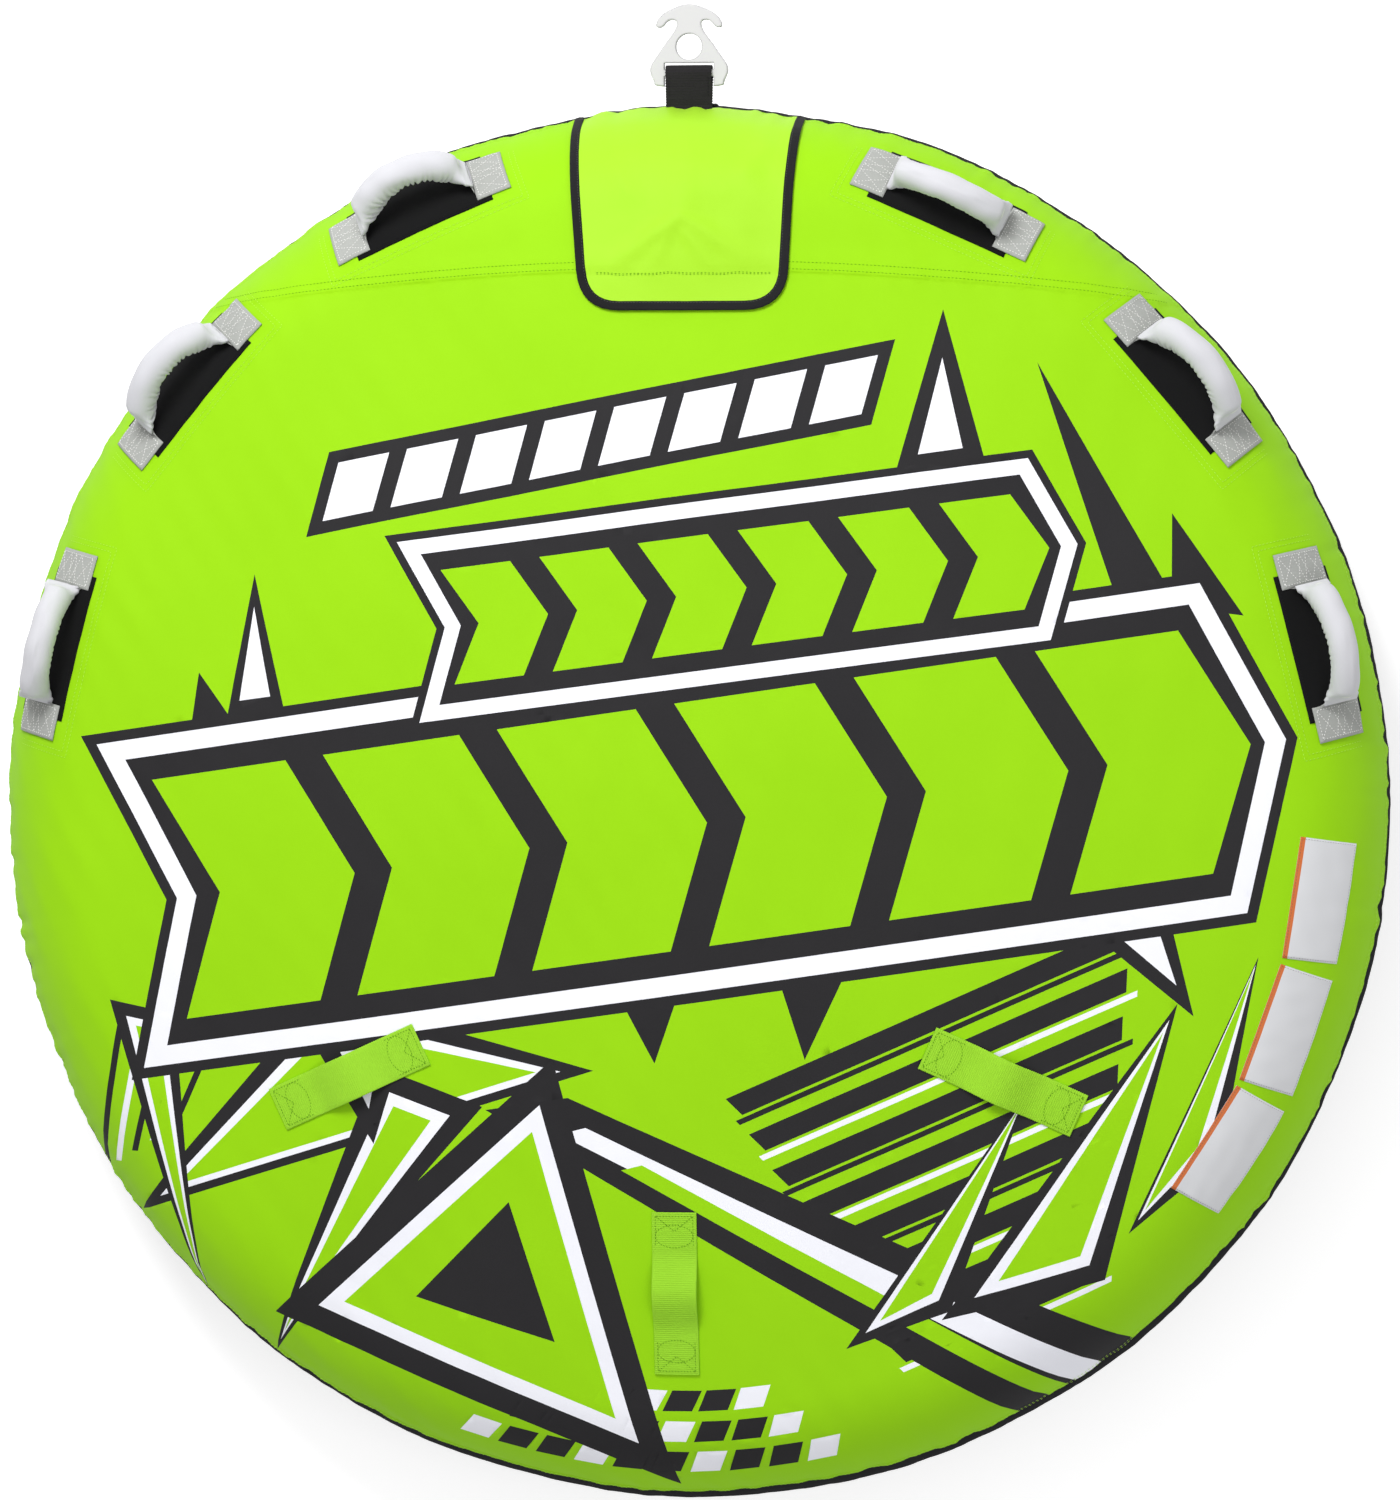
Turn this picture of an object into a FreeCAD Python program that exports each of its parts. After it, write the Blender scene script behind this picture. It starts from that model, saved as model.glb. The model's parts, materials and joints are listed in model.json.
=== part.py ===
# A round, fabric-covered deck tube towed behind a boat, in millimetres.
# The tube lies flat: +Z is up, +Y points at the tow hook, and the origin is the middle of the
# flat underside.  Every skin, patch and tape is a thin layer of one profile turned about Z, so
# each is given as two distances out from the cover's outer face.
import FreeCAD, Part
import math
import os
import Sketcher
from FreeCAD import Placement, Rotation, Vector

DRIVING_SIZES = {
    # the inflated shape
    "tube_radius": 800,
    "tube_height": 360,
    "edge_radius": 140,
    "edge_height": 160,
    "floor_radius": 420,
    "seam_rise": 17,
    # layers
    "cover_thickness": 0.6,
    "bladder_gap": 0.9,
    "bladder_thickness": 0.8,
    "layer_gap": 0.2,
    "tape_thickness": 1.0,
    "webbing_thickness": 2.0,
    "webbing_width": 53,
    # nose panel and flap
    "nose_seam_front": 604,
    "nose_seam_radius": 3800,
    "flap_top_half": 134,
    "flap_foot_half": 118,
    "flap_foot": 559,
    "flap_corner": 50,
    "flap_skew": 8,
    "flap_clearance": 2.6,
    "binding_width": 11,
    "binding_thickness": 2.4,
    # handles
    "handle_radius": 749,
    "handle_first": 24,
    "handle_step": 25.9,
    "handle_chord": 136,
    "handle_rise": 46,
    "handle_lift": 6,
    "sleeve_radius": 15.5,
    "sleeve_sweep": 110,
    "core_radius": 5,
    "pad_start": 69,
    "pad_length": 40,
    "pad_width": 66,
    "guard_length": 166,
    "guard_width": 78,
    # boarding straps
    "side_strap_radius": 484,
    "side_strap_azimuth": 50.3,
    "side_strap_turn": 24.5,
    "rear_strap_radius": 552,
    "board_strap_length": 186,
    "board_strap_end": 46,
    "board_strap_rise": 12,
    # blank patches
    "patch_radius": 735,
    "patch_first": 8.3,
    "patch_step": 11.8,
    "patch_length": 138,
    "patch_width": 74,
    # valve
    "valve_place": 640,
    "valve_flange_radius": 34,
    "valve_socket_radius": 25,
    "valve_cap_radius": 21.5,
    "valve_depth": 24,
    # tow strap and hook
    "tow_root": 798,
    "tow_eye": 865,
    "tow_bar_drop": 30.1,
    "loop_radius": 7,
    "hook_thickness": 8,
    "hook_eye_radius": 15,
    "hook_rounding": 1.2,
    # underside
    "zipper_place": 600,
    "zipper_half": 120,
    "grommet_place": 560,
    "grommet_radius": 11,
    "grommet_hole": 5,
    "harness_start": 512,
}

doc = FreeCAD.newDocument("TowableTube")
sheet = doc.addObject("Spreadsheet::Sheet", "Sizes")
for row, (alias, number) in enumerate(DRIVING_SIZES.items(), start=1):
    sheet.set("A%d" % row, alias)
    sheet.set("B%d" % row, str(number))
    sheet.setAlias("B%d" % row, alias)
doc.recompute()

sub_parts = []
UP = Vector(0, 0, 1)


def size(alias):
    """One driving size, read back from the spreadsheet."""
    return float(sheet.get(alias))


def add_shape(label, shape, placement=Placement()):
    """Keep a shape that is worked out with Part's own functions as a sub-part."""
    feature = doc.addObject("Part::Feature", label)
    feature.Shape = shape
    feature.Placement = placement
    feature.Label = label
    sub_parts.append(feature)
    return feature


def primitive(kind, name, formulas):
    """A Part primitive whose sizes follow the spreadsheet."""
    item = doc.addObject(kind, name)
    for where, formula in formulas.items():
        item.setExpression(where, formula)
    return item


def cut(name, base, tool):
    """Base less tool, as a document object."""
    item = doc.addObject("Part::Cut", name)
    item.Base = base
    item.Tool = tool
    return item


def fuse(name, pieces):
    """Several objects joined into one."""
    item = doc.addObject("Part::MultiFuse", name)
    item.Shapes = pieces
    return item


def keep(item, label, placement=Placement()):
    """Name a finished object as a sub-part and put it in place."""
    item.Label = label
    item.Placement = placement
    sub_parts.append(item)
    return item


# ---------------------------------------------------------------- the inflated profile
# A flat domed deck, a round edge and a shallow underside, each arc tangent to the next.
# A place on the profile is named by its slope: 0 is straight up, 90 the equator, 180 down.
EDGE_CENTRE = size("tube_radius") - size("edge_radius")
DECK_RISE = size("tube_height") - size("edge_height")
DOME_RADIUS = (EDGE_CENTRE ** 2 + DECK_RISE ** 2 - size("edge_radius") ** 2) / (
    2 * (DECK_RISE - size("edge_radius")))
DOME_SLOPE = math.degrees(math.asin(EDGE_CENTRE / (DOME_RADIUS - size("edge_radius"))))
BELLY_REACH = EDGE_CENTRE - size("floor_radius")
BELLY_RADIUS = (BELLY_REACH ** 2 + size("edge_height") ** 2 - size("edge_radius") ** 2) / (
    2 * (size("edge_height") - size("edge_radius")))
BELLY_SLOPE = 180 - math.degrees(math.asin(BELLY_REACH / (BELLY_RADIUS - size("edge_radius"))))
SEAM_SLOPE = 90 - size("seam_rise")

ARCS = [
    # first slope, last slope, centre radius, centre height, arc radius
    (0, DOME_SLOPE, 0, size("tube_height") - DOME_RADIUS, DOME_RADIUS),
    (DOME_SLOPE, BELLY_SLOPE, EDGE_CENTRE, size("edge_height"), size("edge_radius")),
    (BELLY_SLOPE, 180, size("floor_radius"), BELLY_RADIUS, BELLY_RADIUS),
]


def arc_point(arc, slope, offset):
    """A point of one profile arc, moved out from the cover by offset."""
    reach = arc[4] + offset
    turn = math.radians(slope)
    return Vector(arc[2] + reach * math.sin(turn), 0, arc[3] + reach * math.cos(turn))


def profile_edges(offset, first, last):
    """The profile's edges from one slope to another, and on to the axis past 180."""
    edges = []
    for arc in ARCS:
        start = max(first, arc[0])
        end = min(last, arc[1])
        if end - start > 0.001:
            stops = [arc_point(arc, slope, offset) for slope in (start, (start + end) / 2, end)]
            edges.append(Part.Arc(*stops).toShape())
    if last > 180:
        edges.append(Part.makeLine(arc_point(ARCS[2], 180, offset), Vector(0, 0, -offset)))
    return edges


def layer(inner, outer, first, last):
    """A skin between two offsets, turned about Z."""
    inside = profile_edges(inner, first, last)
    outside = profile_edges(outer, first, last)
    joins = []
    for near, far in ((inside[0].firstVertex(), outside[0].firstVertex()),
                      (inside[-1].lastVertex(), outside[-1].lastVertex())):
        joins.append(Part.makeLine(near.Point, far.Point))
    wire = Part.Wire(Part.__sortEdges__(inside + outside + joins))
    return Part.Face(wire).revolve(Vector(0, 0, 0), UP, 360)


def on_tube(radius, azimuth, offset=0):
    """Where a plan radius and azimuth meet the top of the tube, with the local directions."""
    around = math.radians(azimuth)
    outward = Vector(math.cos(around), math.sin(around), 0)
    along = Vector(-math.sin(around), math.cos(around), 0)
    if radius < DOME_RADIUS * math.sin(math.radians(DOME_SLOPE)):
        slope = math.asin(radius / DOME_RADIUS)
        height = size("tube_height") - DOME_RADIUS * (1 - math.cos(slope))
    else:
        slope = math.asin((radius - EDGE_CENTRE) / size("edge_radius"))
        height = size("edge_height") + size("edge_radius") * math.cos(slope)
    normal = outward * math.sin(slope) + UP * math.cos(slope)
    point = outward * radius + UP * height + normal * offset
    return point, normal, along


def tilted(point, across, up_axis):
    """A placement whose X lies across and whose Z is up_axis."""
    return Placement(point, Rotation(across, up_axis.cross(across), up_axis, "ZXY"))


def block(length, width, depth=60):
    """A block about the origin, tall enough to pick a patch out of a layer."""
    return Part.makeBox(length, width, depth, Vector(-length / 2, -width / 2, -depth / 2))


def tall(wire):
    """A prism through the whole tube on a plan outline."""
    return Part.Face(wire).extrude(UP * 500)


def one_solid(shape):
    """The shape's solids, as one solid or as a compound of them."""
    solids = [Part.Solid(item) for item in shape.Solids]
    return solids[0] if len(solids) == 1 else Part.makeCompound(solids)


# ---------------------------------------------------------------- bladder, cover and seams
def nose_region(margin):
    """The plan area ahead of the cross seam, moved forward by margin."""
    reach = size("nose_seam_radius")
    front = size("nose_seam_front") + margin
    side = 900
    back = front - reach + math.sqrt(reach ** 2 - side ** 2)
    seam = Part.Arc(Vector(-side, back, 0), Vector(0, front, 0), Vector(side, back, 0)).toShape()
    far = Part.makePolygon([Vector(side, back, 0), Vector(side, 1000, 0),
                            Vector(-side, 1000, 0), Vector(-side, back, 0)])
    return tall(Part.Wire([seam] + far.Edges))


def make_inflated_parts():
    inside = -size("cover_thickness")
    wall = inside - size("bladder_gap")
    valve_point, valve_normal, valve_along = on_tube(size("valve_place"), 90)
    valve_frame = tilted(valve_point, valve_along * -1, valve_normal)

    bladder = layer(wall - size("bladder_thickness"), wall, 0, 181)
    stem_hole = Part.makeCylinder(size("valve_socket_radius") + 0.4, 20, Vector(0, 0, -10))
    stem_hole.Placement = valve_frame
    add_shape("bladder", one_solid(bladder.cut(stem_hole)))

    top = layer(inside, 0, 0, SEAM_SLOPE - 0.1)
    add_shape("cover_deck", one_solid(top.cut(nose_region(-0.1))))
    flange_hole = Part.makeCylinder(size("valve_flange_radius") + 2, 20, Vector(0, 0, -10))
    flange_hole.Placement = valve_frame
    nose = top.common(nose_region(0.1)).cut(flange_hole)
    add_shape("cover_nose", one_solid(nose))

    underside = layer(inside, 0, SEAM_SLOPE + 0.1, 181)
    slot = block(2 * size("zipper_half"), 10, 80)
    slot.translate(Vector(0, -size("zipper_place"), 0))
    underside = underside.cut(slot)
    for frame in grommet_frames():
        eyelet = Part.makeCylinder(size("grommet_hole") + 2, 20, Vector(0, 0, -10))
        eyelet.Placement = frame
        underside = underside.cut(eyelet)
    add_shape("cover_underside", one_solid(underside))

    tape_out = inside - 0.15
    add_shape("seam_tape", layer(tape_out - 0.5, tape_out, SEAM_SLOPE - 4, SEAM_SLOPE + 4))


# ---------------------------------------------------------------- valve
def make_valve():
    point, normal, along = on_tube(size("valve_place"), 90)
    frame = tilted(point, along * -1, normal)
    flange = primitive("Part::Cylinder", "ValveFlange", {
        "Radius": "Sizes.valve_flange_radius", "Height": "1.6",
        "Placement.Base.z": "-1.4"})
    socket = primitive("Part::Cylinder", "ValveSocket", {
        "Radius": "Sizes.valve_socket_radius", "Height": "Sizes.valve_depth",
        "Placement.Base.z": "-Sizes.valve_depth"})
    bore = primitive("Part::Cylinder", "ValveBore", {
        "Radius": "Sizes.valve_cap_radius + 0.5", "Height": "Sizes.valve_depth",
        "Placement.Base.z": "4 - Sizes.valve_depth"})
    throat = primitive("Part::Cylinder", "ValveThroat", {
        "Radius": "Sizes.valve_socket_radius * 0.36", "Height": "Sizes.valve_depth",
        "Placement.Base.z": "-Sizes.valve_depth - 1"})
    body = cut("ValveBody", fuse("ValveOuter", [flange, socket]), fuse("ValveInner", [bore, throat]))
    keep(body, "valve_body", frame)

    disc = primitive("Part::Cylinder", "CapDisc", {
        "Radius": "Sizes.valve_cap_radius", "Height": "7", "Placement.Base.z": "-5.8"})
    fingers = []
    for name, side in (("CapRecessLeft", -1), ("CapRecessRight", 1)):
        recess = primitive("Part::Cylinder", name, {
            "Radius": "Sizes.valve_cap_radius * 0.36", "Height": "5",
            "Placement.Base.x": "%d * Sizes.valve_cap_radius * 0.48" % side,
            "Placement.Base.z": "-3"})
        fingers.append(recess)
    keep(cut("ValveCap", disc, fuse("CapRecesses", fingers)), "valve_cap", frame)

    membrane = primitive("Part::Cylinder", "ValveMembrane", {
        "Radius": "Sizes.valve_socket_radius * 0.5", "Height": "1"})
    drop = frame.multVec(Vector(0, 0, -size("valve_depth") - 1.2))
    keep(membrane, "valve_membrane", Placement(drop, frame.Rotation))


# ---------------------------------------------------------------- flap over the valve
def flap_outline(inset):
    """The flap's plan outline, rounded at both lower corners, moved in by inset."""
    top = 860
    foot = size("flap_foot") + inset
    corner = size("flap_corner") - inset
    skew = size("flap_skew")
    half_foot = size("flap_foot_half") - inset
    half_top = size("flap_top_half") - inset
    corners = [Vector(-half_top, top, 0), Vector(skew - half_foot, foot, 0),
               Vector(skew + half_foot, foot, 0), Vector(half_top, top, 0)]
    sides = Part.makePolygon(corners + corners[:1])
    prism = Part.Face(sides).extrude(UP * 500)
    lower = [edge for edge in prism.Edges
             if edge.Length > 499 and edge.CenterOfMass.y < foot + 1]
    return prism.makeFillet(corner, lower)


def make_flap():
    low = size("flap_clearance")
    high = low + size("binding_thickness")
    start = SEAM_SLOPE - 2
    frame = layer(low, high, 0, start)
    inner = flap_outline(size("binding_width"))
    binding = frame.common(flap_outline(0)).cut(inner)
    add_shape("flap_binding", one_solid(binding))
    sheet_layer = layer(low + 0.5, high - 0.7, 0, start)
    add_shape("flap_panel", one_solid(sheet_layer.common(flap_outline(size("binding_width") + 0.1))))

    strip = block(170, 26, 1000)
    strip.translate(Vector(size("flap_skew"), size("flap_foot") + 28, 0))
    under = low + 0.4
    hooks = layer(under - size("tape_thickness"), under, 0, start).common(strip)
    add_shape("flap_hook_tape", one_solid(hooks))
    gap = size("layer_gap")
    loops = layer(gap, gap + size("tape_thickness"), 0, start).common(strip)
    add_shape("deck_loop_tape", one_solid(loops))


# ---------------------------------------------------------------- handles
REST_LEANS = {
    # how far each loop leans outward from the local normal as it lies at rest
    ("left", 1): 13, ("left", 2): 9, ("left", 3): -35,
    ("right", 1): -21, ("right", 2): 8, ("right", 3): -4,
}


def handle_azimuth(side, row):
    turn = size("handle_first") + (row - 1) * size("handle_step")
    return 90 + turn if side == "left" else 90 - turn


def arch(name, radius, sweep):
    """A bent round bar lying in XY, its middle on +Y, whose ends reach toward the pads."""
    bend = "(Sizes.handle_chord^2 / 4 + Sizes.handle_rise^2) / (2 * Sizes.handle_rise)"
    return primitive("Part::Torus", name, {
        "Radius1": bend, "Radius2": radius, "Angle3": sweep})


def make_handle(side, row):
    label = "handle_%s_%d_" % (side, row)
    point, normal, along = on_tube(size("handle_radius"), handle_azimuth(side, row))
    flat = tilted(point, along, normal)
    gap = size("layer_gap")

    guard_cut = block(size("guard_length"), size("guard_width"))
    guard_cut.Placement = flat
    guard = RIM_LAYERS["guard"].common(guard_cut)
    add_shape(label + "guard", one_solid(guard))

    ends = []
    for way in (-1, 1):
        end = block(size("pad_length"), size("pad_width"))
        end.Placement = Placement(Vector(way * (size("pad_start") + size("pad_length") / 2), 0, 0),
                                  Rotation())
        end.Placement = flat.multiply(end.Placement)
        ends.extend(RIM_LAYERS["pad"].common(end).Solids)
    add_shape(label + "pads", Part.makeCompound(ends))

    lean = math.radians(REST_LEANS[(side, row)])
    outward = along.cross(normal)
    rise = normal * math.cos(lean) + outward * math.sin(lean)
    bend = (size("handle_chord") ** 2 / 4 + size("handle_rise") ** 2) / (2 * size("handle_rise"))
    centre = point + normal * size("handle_lift") - rise * (bend - size("handle_rise"))
    frame = Placement(centre, Rotation(along, rise, along.cross(rise), "ZXY"))

    half_sweep = math.degrees(math.asin(size("handle_chord") / 2 / bend))
    tag = side.capitalize() + str(row)
    webbing = arch("Webbing" + tag, "Sizes.core_radius", str(2 * half_sweep))
    keep(webbing, label + "webbing", frame.multiply(spin(90 - half_sweep)))
    begin = spin(90 - size("sleeve_sweep") / 2)
    foam_outer = arch("FoamOuter" + tag, "Sizes.sleeve_radius - 1", "Sizes.sleeve_sweep")
    foam_inner = arch("FoamInner" + tag, "Sizes.core_radius + 0.1", "Sizes.sleeve_sweep")
    keep(cut("Foam" + tag, foam_outer, foam_inner), label + "foam", frame.multiply(begin))
    sleeve_outer = arch("SleeveOuter" + tag, "Sizes.sleeve_radius", "Sizes.sleeve_sweep")
    sleeve_inner = arch("SleeveInner" + tag, "Sizes.sleeve_radius - 0.9", "Sizes.sleeve_sweep")
    keep(cut("Sleeve" + tag, sleeve_outer, sleeve_inner), label + "sleeve", frame.multiply(begin))


def spin(turn):
    """A turn about the arch's own axis."""
    return Placement(Vector(0, 0, 0), Rotation(UP, turn))


# ---------------------------------------------------------------- boarding straps
def strap_curve(lift):
    """The strap's side outline: flat sewn ends and a bow between them."""
    half = size("board_strap_length") / 2
    flat_end = half - size("board_strap_end")
    points = []
    for step in range(-8, 9):
        along = flat_end * step / 8
        bow = size("board_strap_rise") * (0.5 + 0.5 * math.cos(math.pi * step / 8))
        points.append(Vector(along, 0, lift + bow + dome_drop(along)))
    curve = Part.BSplineCurve()
    curve.interpolate(points)
    ends = [Vector(-half, 0, lift + dome_drop(half)), Vector(half, 0, lift + dome_drop(half))]
    return [Part.makeLine(ends[0], points[0]), curve.toShape(), Part.makeLine(points[-1], ends[1])]


def dome_drop(reach):
    """How far the deck falls away from its tangent plane at a distance."""
    return -reach ** 2 / (2 * DOME_RADIUS)


def make_boarding_strap(label, radius, azimuth, direction):
    gap = size("layer_gap") + 0.3
    lower = strap_curve(gap)
    upper = strap_curve(gap + size("webbing_thickness"))
    joins = [Part.makeLine(lower[0].firstVertex().Point, upper[0].firstVertex().Point),
             Part.makeLine(lower[2].lastVertex().Point, upper[2].lastVertex().Point)]
    wire = Part.Wire(Part.__sortEdges__(lower + upper + joins))
    width = size("webbing_width") - 2
    solid = Part.Face(wire).extrude(Vector(0, width, 0))
    solid.translate(Vector(0, -width / 2, 0))
    point, normal, _ = on_tube(radius, azimuth)
    turn = math.radians(direction)
    heading = Vector(math.cos(turn), math.sin(turn), 0)
    across = (heading - normal * heading.dot(normal)).normalize()
    add_shape(label, Part.Solid(solid.Solids[0]), tilted(point, across, normal))


# ---------------------------------------------------------------- blank patches
def make_patch(number):
    azimuth = -size("patch_first") - (number - 1) * size("patch_step")
    point, normal, along = on_tube(size("patch_radius"), azimuth)
    pick = block(size("patch_length"), size("patch_width"))
    pick.Placement = tilted(point, along, normal)
    add_shape("blank_patch_%d" % number, one_solid(RIM_LAYERS["patch"].common(pick)))


# ---------------------------------------------------------------- tow strap and hook
def body_with_sketch(name, plane):
    """A PartDesign body holding one empty sketch on one of its origin planes."""
    body = doc.addObject("PartDesign::Body", name)
    support = [item for item in body.Origin.OriginFeatures if item.Role == plane][0]
    sketch = body.newObject("Sketcher::SketchObject", name + "Outline")
    sketch.AttachmentSupport = (support, [""])
    sketch.MapMode = "FlatFace"
    return body, sketch


def pad_body(body, sketch, length):
    """Pad a body's sketch evenly to both sides of its plane."""
    pad = body.newObject("PartDesign::Pad", body.Name + "Pad")
    pad.Profile = sketch
    pad.Midplane = True
    pad.setExpression("Length", length)
    return pad


def loop_geometry(radius, root_half, inset=0):
    """A teardrop about the hook's bar: an arc closed by two tangent lines to the root."""
    reach = size("tow_eye") - size("tow_bar_drop") - size("tow_root") - inset
    distance = math.hypot(reach, root_half)
    turn = math.pi - math.acos(radius / distance) - math.atan2(root_half, reach)
    top = Vector(radius * math.cos(turn), radius * math.sin(turn), 0)
    bottom = Vector(top.x, -top.y, 0)
    arc = Part.Arc(bottom, Vector(radius, 0, 0), top)
    upper = Part.LineSegment(top, Vector(-reach, root_half, 0))
    lower = Part.LineSegment(Vector(-reach, -root_half, 0), bottom)
    return arc, upper, lower


def make_tow_strap():
    """Webbing doubled round the hook's bar; its two layers meet where it leaves the seam."""
    body, sketch = body_with_sketch("TowStrap", "XY_Plane")
    thick = size("webbing_thickness")
    arc, upper, lower = loop_geometry(size("loop_radius") + thick, thick + 0.3)
    root = Part.LineSegment(upper.EndPoint, lower.StartPoint)
    outer = [sketch.addGeometry(item) for item in (arc, upper, root, lower)]
    sewn = 2 * thick
    inner = [sketch.addGeometry(item) for item in loop_geometry(size("loop_radius"), 0.3, sewn)]
    inner_root = Part.LineSegment(sketch.Geometry[inner[1]].EndPoint,
                                  sketch.Geometry[inner[2]].StartPoint)
    sketch.addGeometry(inner_root)
    for circle, radius in ((outer[0], "Sizes.loop_radius + Sizes.webbing_thickness"),
                           (inner[0], "Sizes.loop_radius")):
        sketch.addConstraint(Sketcher.Constraint("Coincident", circle, 3, -1, 1))
        held = sketch.addConstraint(
            Sketcher.Constraint("Radius", circle, sketch.Geometry[circle].Radius))
        sketch.setExpression("Constraints[%d]" % held, radius)
    pad_body(body, sketch, "Sizes.webbing_width")
    seam_height = size("edge_height") + size("edge_radius") * math.cos(math.radians(SEAM_SLOPE))
    bar = Vector(0, size("tow_eye") - size("tow_bar_drop"), seam_height)
    keep(body, "tow_strap", Placement(bar, Rotation(Vector(0, 1, 0), UP, Vector(1, 0, 0), "ZXY")))


# Points on the right half of the hook's rim, in millimetres from the middle of its eye.
HOOK_RIM = [
    (0, 48.5), (20.5, 42.9), (36.6, 29.6), (37.4, 22.9), (31.6, 22.4), (25.8, 28.0), (19.5, 30.6),
    (14.6, 28.8), (14.4, 23.4), (19, 14.6), (28, 2.5), (38.6, -12.8), (44.8, -28), (40.2, -40.6),
    (28.5, -45.4),
]


def hook_outline(side):
    """Half the anchor-shaped hook, eye at the origin: crown, ear, notch, flank and lobe."""
    rim = Part.BSplineCurve()
    rim.interpolate(Points=[Vector(side * x, y, 0) for x, y in HOOK_RIM],
                    InitialTangent=Vector(side, 0, 0), FinalTangent=Vector(-side, -0.1, 0))
    foot = Vector(side * HOOK_RIM[-1][0], HOOK_RIM[-1][1], 0)
    fork = Vector(foot.x, -size("tow_bar_drop") - 4, 0)
    return [rim, Part.LineSegment(foot, fork), Part.LineSegment(fork, Vector(0, fork.y, 0))]


def make_tow_hook():
    body, sketch = body_with_sketch("TowHook", "XY_Plane")
    for curve in hook_outline(1) + hook_outline(-1):
        sketch.addGeometry(curve)
    slot_top = size("loop_radius") + size("webbing_thickness") + 2.6 - size("tow_bar_drop")
    slot_foot = 4 - size("tow_bar_drop")
    side = size("webbing_width") / 2 + 2
    corners = [Vector(-side, slot_foot, 0), Vector(side, slot_foot, 0),
               Vector(side, slot_top, 0), Vector(-side, slot_top, 0)]
    for number in range(4):
        sketch.addGeometry(Part.LineSegment(corners[number], corners[(number + 1) % 4]))
    eye = sketch.addGeometry(Part.Circle(Vector(0, 0, 0), UP, size("hook_eye_radius")))
    sketch.addConstraint(Sketcher.Constraint("Coincident", eye, 3, -1, 1))
    held = sketch.addConstraint(Sketcher.Constraint("Radius", eye, size("hook_eye_radius")))
    sketch.setExpression("Constraints[%d]" % held, "Sizes.hook_eye_radius")
    plate = pad_body(body, sketch, "Sizes.hook_thickness")
    doc.recompute()
    round_rim(body, plate, "Sizes.hook_rounding")
    seam_height = size("edge_height") + size("edge_radius") * math.cos(math.radians(SEAM_SLOPE))
    keep(body, "tow_hook", Placement(Vector(0, size("tow_eye"), seam_height), Rotation()))


def round_rim(body, plate, radius):
    """Round the plate's long rim on both faces, leaving the eye and the slot sharp."""
    half = size("hook_thickness") / 2
    names = []
    for number, edge in enumerate(plate.Shape.Edges, start=1):
        flat = abs(abs(edge.CenterOfMass.z) - half) < 0.01 and edge.BoundBox.ZLength < 0.01
        if flat and edge.Length > size("tow_bar_drop") * 4:
            names.append("Edge%d" % number)
    fillet = body.newObject("PartDesign::Fillet", body.Name + "Rounding")
    fillet.Base = (plate, names)
    fillet.setExpression("Radius", radius)


# ---------------------------------------------------------------- underside
def under_tube(radius, azimuth):
    """The placement on the shallow underside, its Z pointing out of the tube."""
    around = math.radians(azimuth)
    outward = Vector(math.cos(around), math.sin(around), 0)
    along = Vector(-math.sin(around), math.cos(around), 0)
    slope = math.asin((radius - size("floor_radius")) / BELLY_RADIUS)
    normal = outward * math.sin(slope) - UP * math.cos(slope)
    height = BELLY_RADIUS * (1 - math.cos(slope))
    return tilted(outward * radius + UP * height, along, normal)


def grommet_frames():
    return [under_tube(size("grommet_place"), azimuth) for azimuth in (0, 45, 135, 180)]


def make_grommets():
    rings = []
    for number, frame in enumerate(grommet_frames(), start=1):
        flange = primitive("Part::Cylinder", "GrommetFlange%d" % number, {
            "Radius": "Sizes.grommet_radius", "Height": "1", "Placement.Base.z": "0.2"})
        barrel = primitive("Part::Cylinder", "GrommetBarrel%d" % number, {
            "Radius": "Sizes.grommet_hole + 1.5", "Height": "1.5", "Placement.Base.z": "-0.9"})
        hole = primitive("Part::Cylinder", "GrommetHole%d" % number, {
            "Radius": "Sizes.grommet_hole", "Height": "6", "Placement.Base.z": "-3"})
        ring = cut("Grommet%d" % number, fuse("GrommetBlank%d" % number, [flange, barrel]), hole)
        ring.Placement = frame
        rings.append(ring)
    joined = doc.addObject("Part::Compound", "Grommets")
    joined.Links = rings
    keep(joined, "drain_grommets")


def make_zipper():
    place = Vector(0, -size("zipper_place"), 0)
    half = size("zipper_half")
    inside = -size("cover_thickness") - 0.1
    tape_pick = block(2 * half + 30, 34, 80)
    tape_pick.translate(place)
    tape = layer(inside - 0.5, inside, BELLY_SLOPE - 20, 181).common(tape_pick)
    add_shape("zipper_tape", one_solid(tape))
    coil_pick = block(2 * half - 2, 6, 80)
    coil_pick.translate(place)
    coil = layer(inside + 0.05, 0.3, BELLY_SLOPE - 20, 181).common(coil_pick)
    add_shape("zipper_coil", one_solid(coil))

    housing = primitive("Part::Box", "SliderHousing", {
        "Length": "11", "Width": "14", "Height": "3.5",
        "Placement.Base.x": "-5.5", "Placement.Base.y": "-7"})
    pull = primitive("Part::Box", "SliderPull", {
        "Length": "7", "Width": "30", "Height": "1.2",
        "Placement.Base.x": "-3.5", "Placement.Base.y": "-4", "Placement.Base.z": "4"})
    link = primitive("Part::Box", "SliderLink", {
        "Length": "4", "Width": "4", "Height": "1.5",
        "Placement.Base.x": "-2", "Placement.Base.y": "-3", "Placement.Base.z": "3"})
    slider = fuse("ZipperSlider", [housing, pull, link])
    frame = under_tube(size("zipper_place"), -90)
    rest = Vector(half - 15, 0, 0) + frame.multVec(Vector(0, 0, 0.7))
    keep(slider, "zipper_slider", Placement(rest, frame.Rotation))


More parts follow.
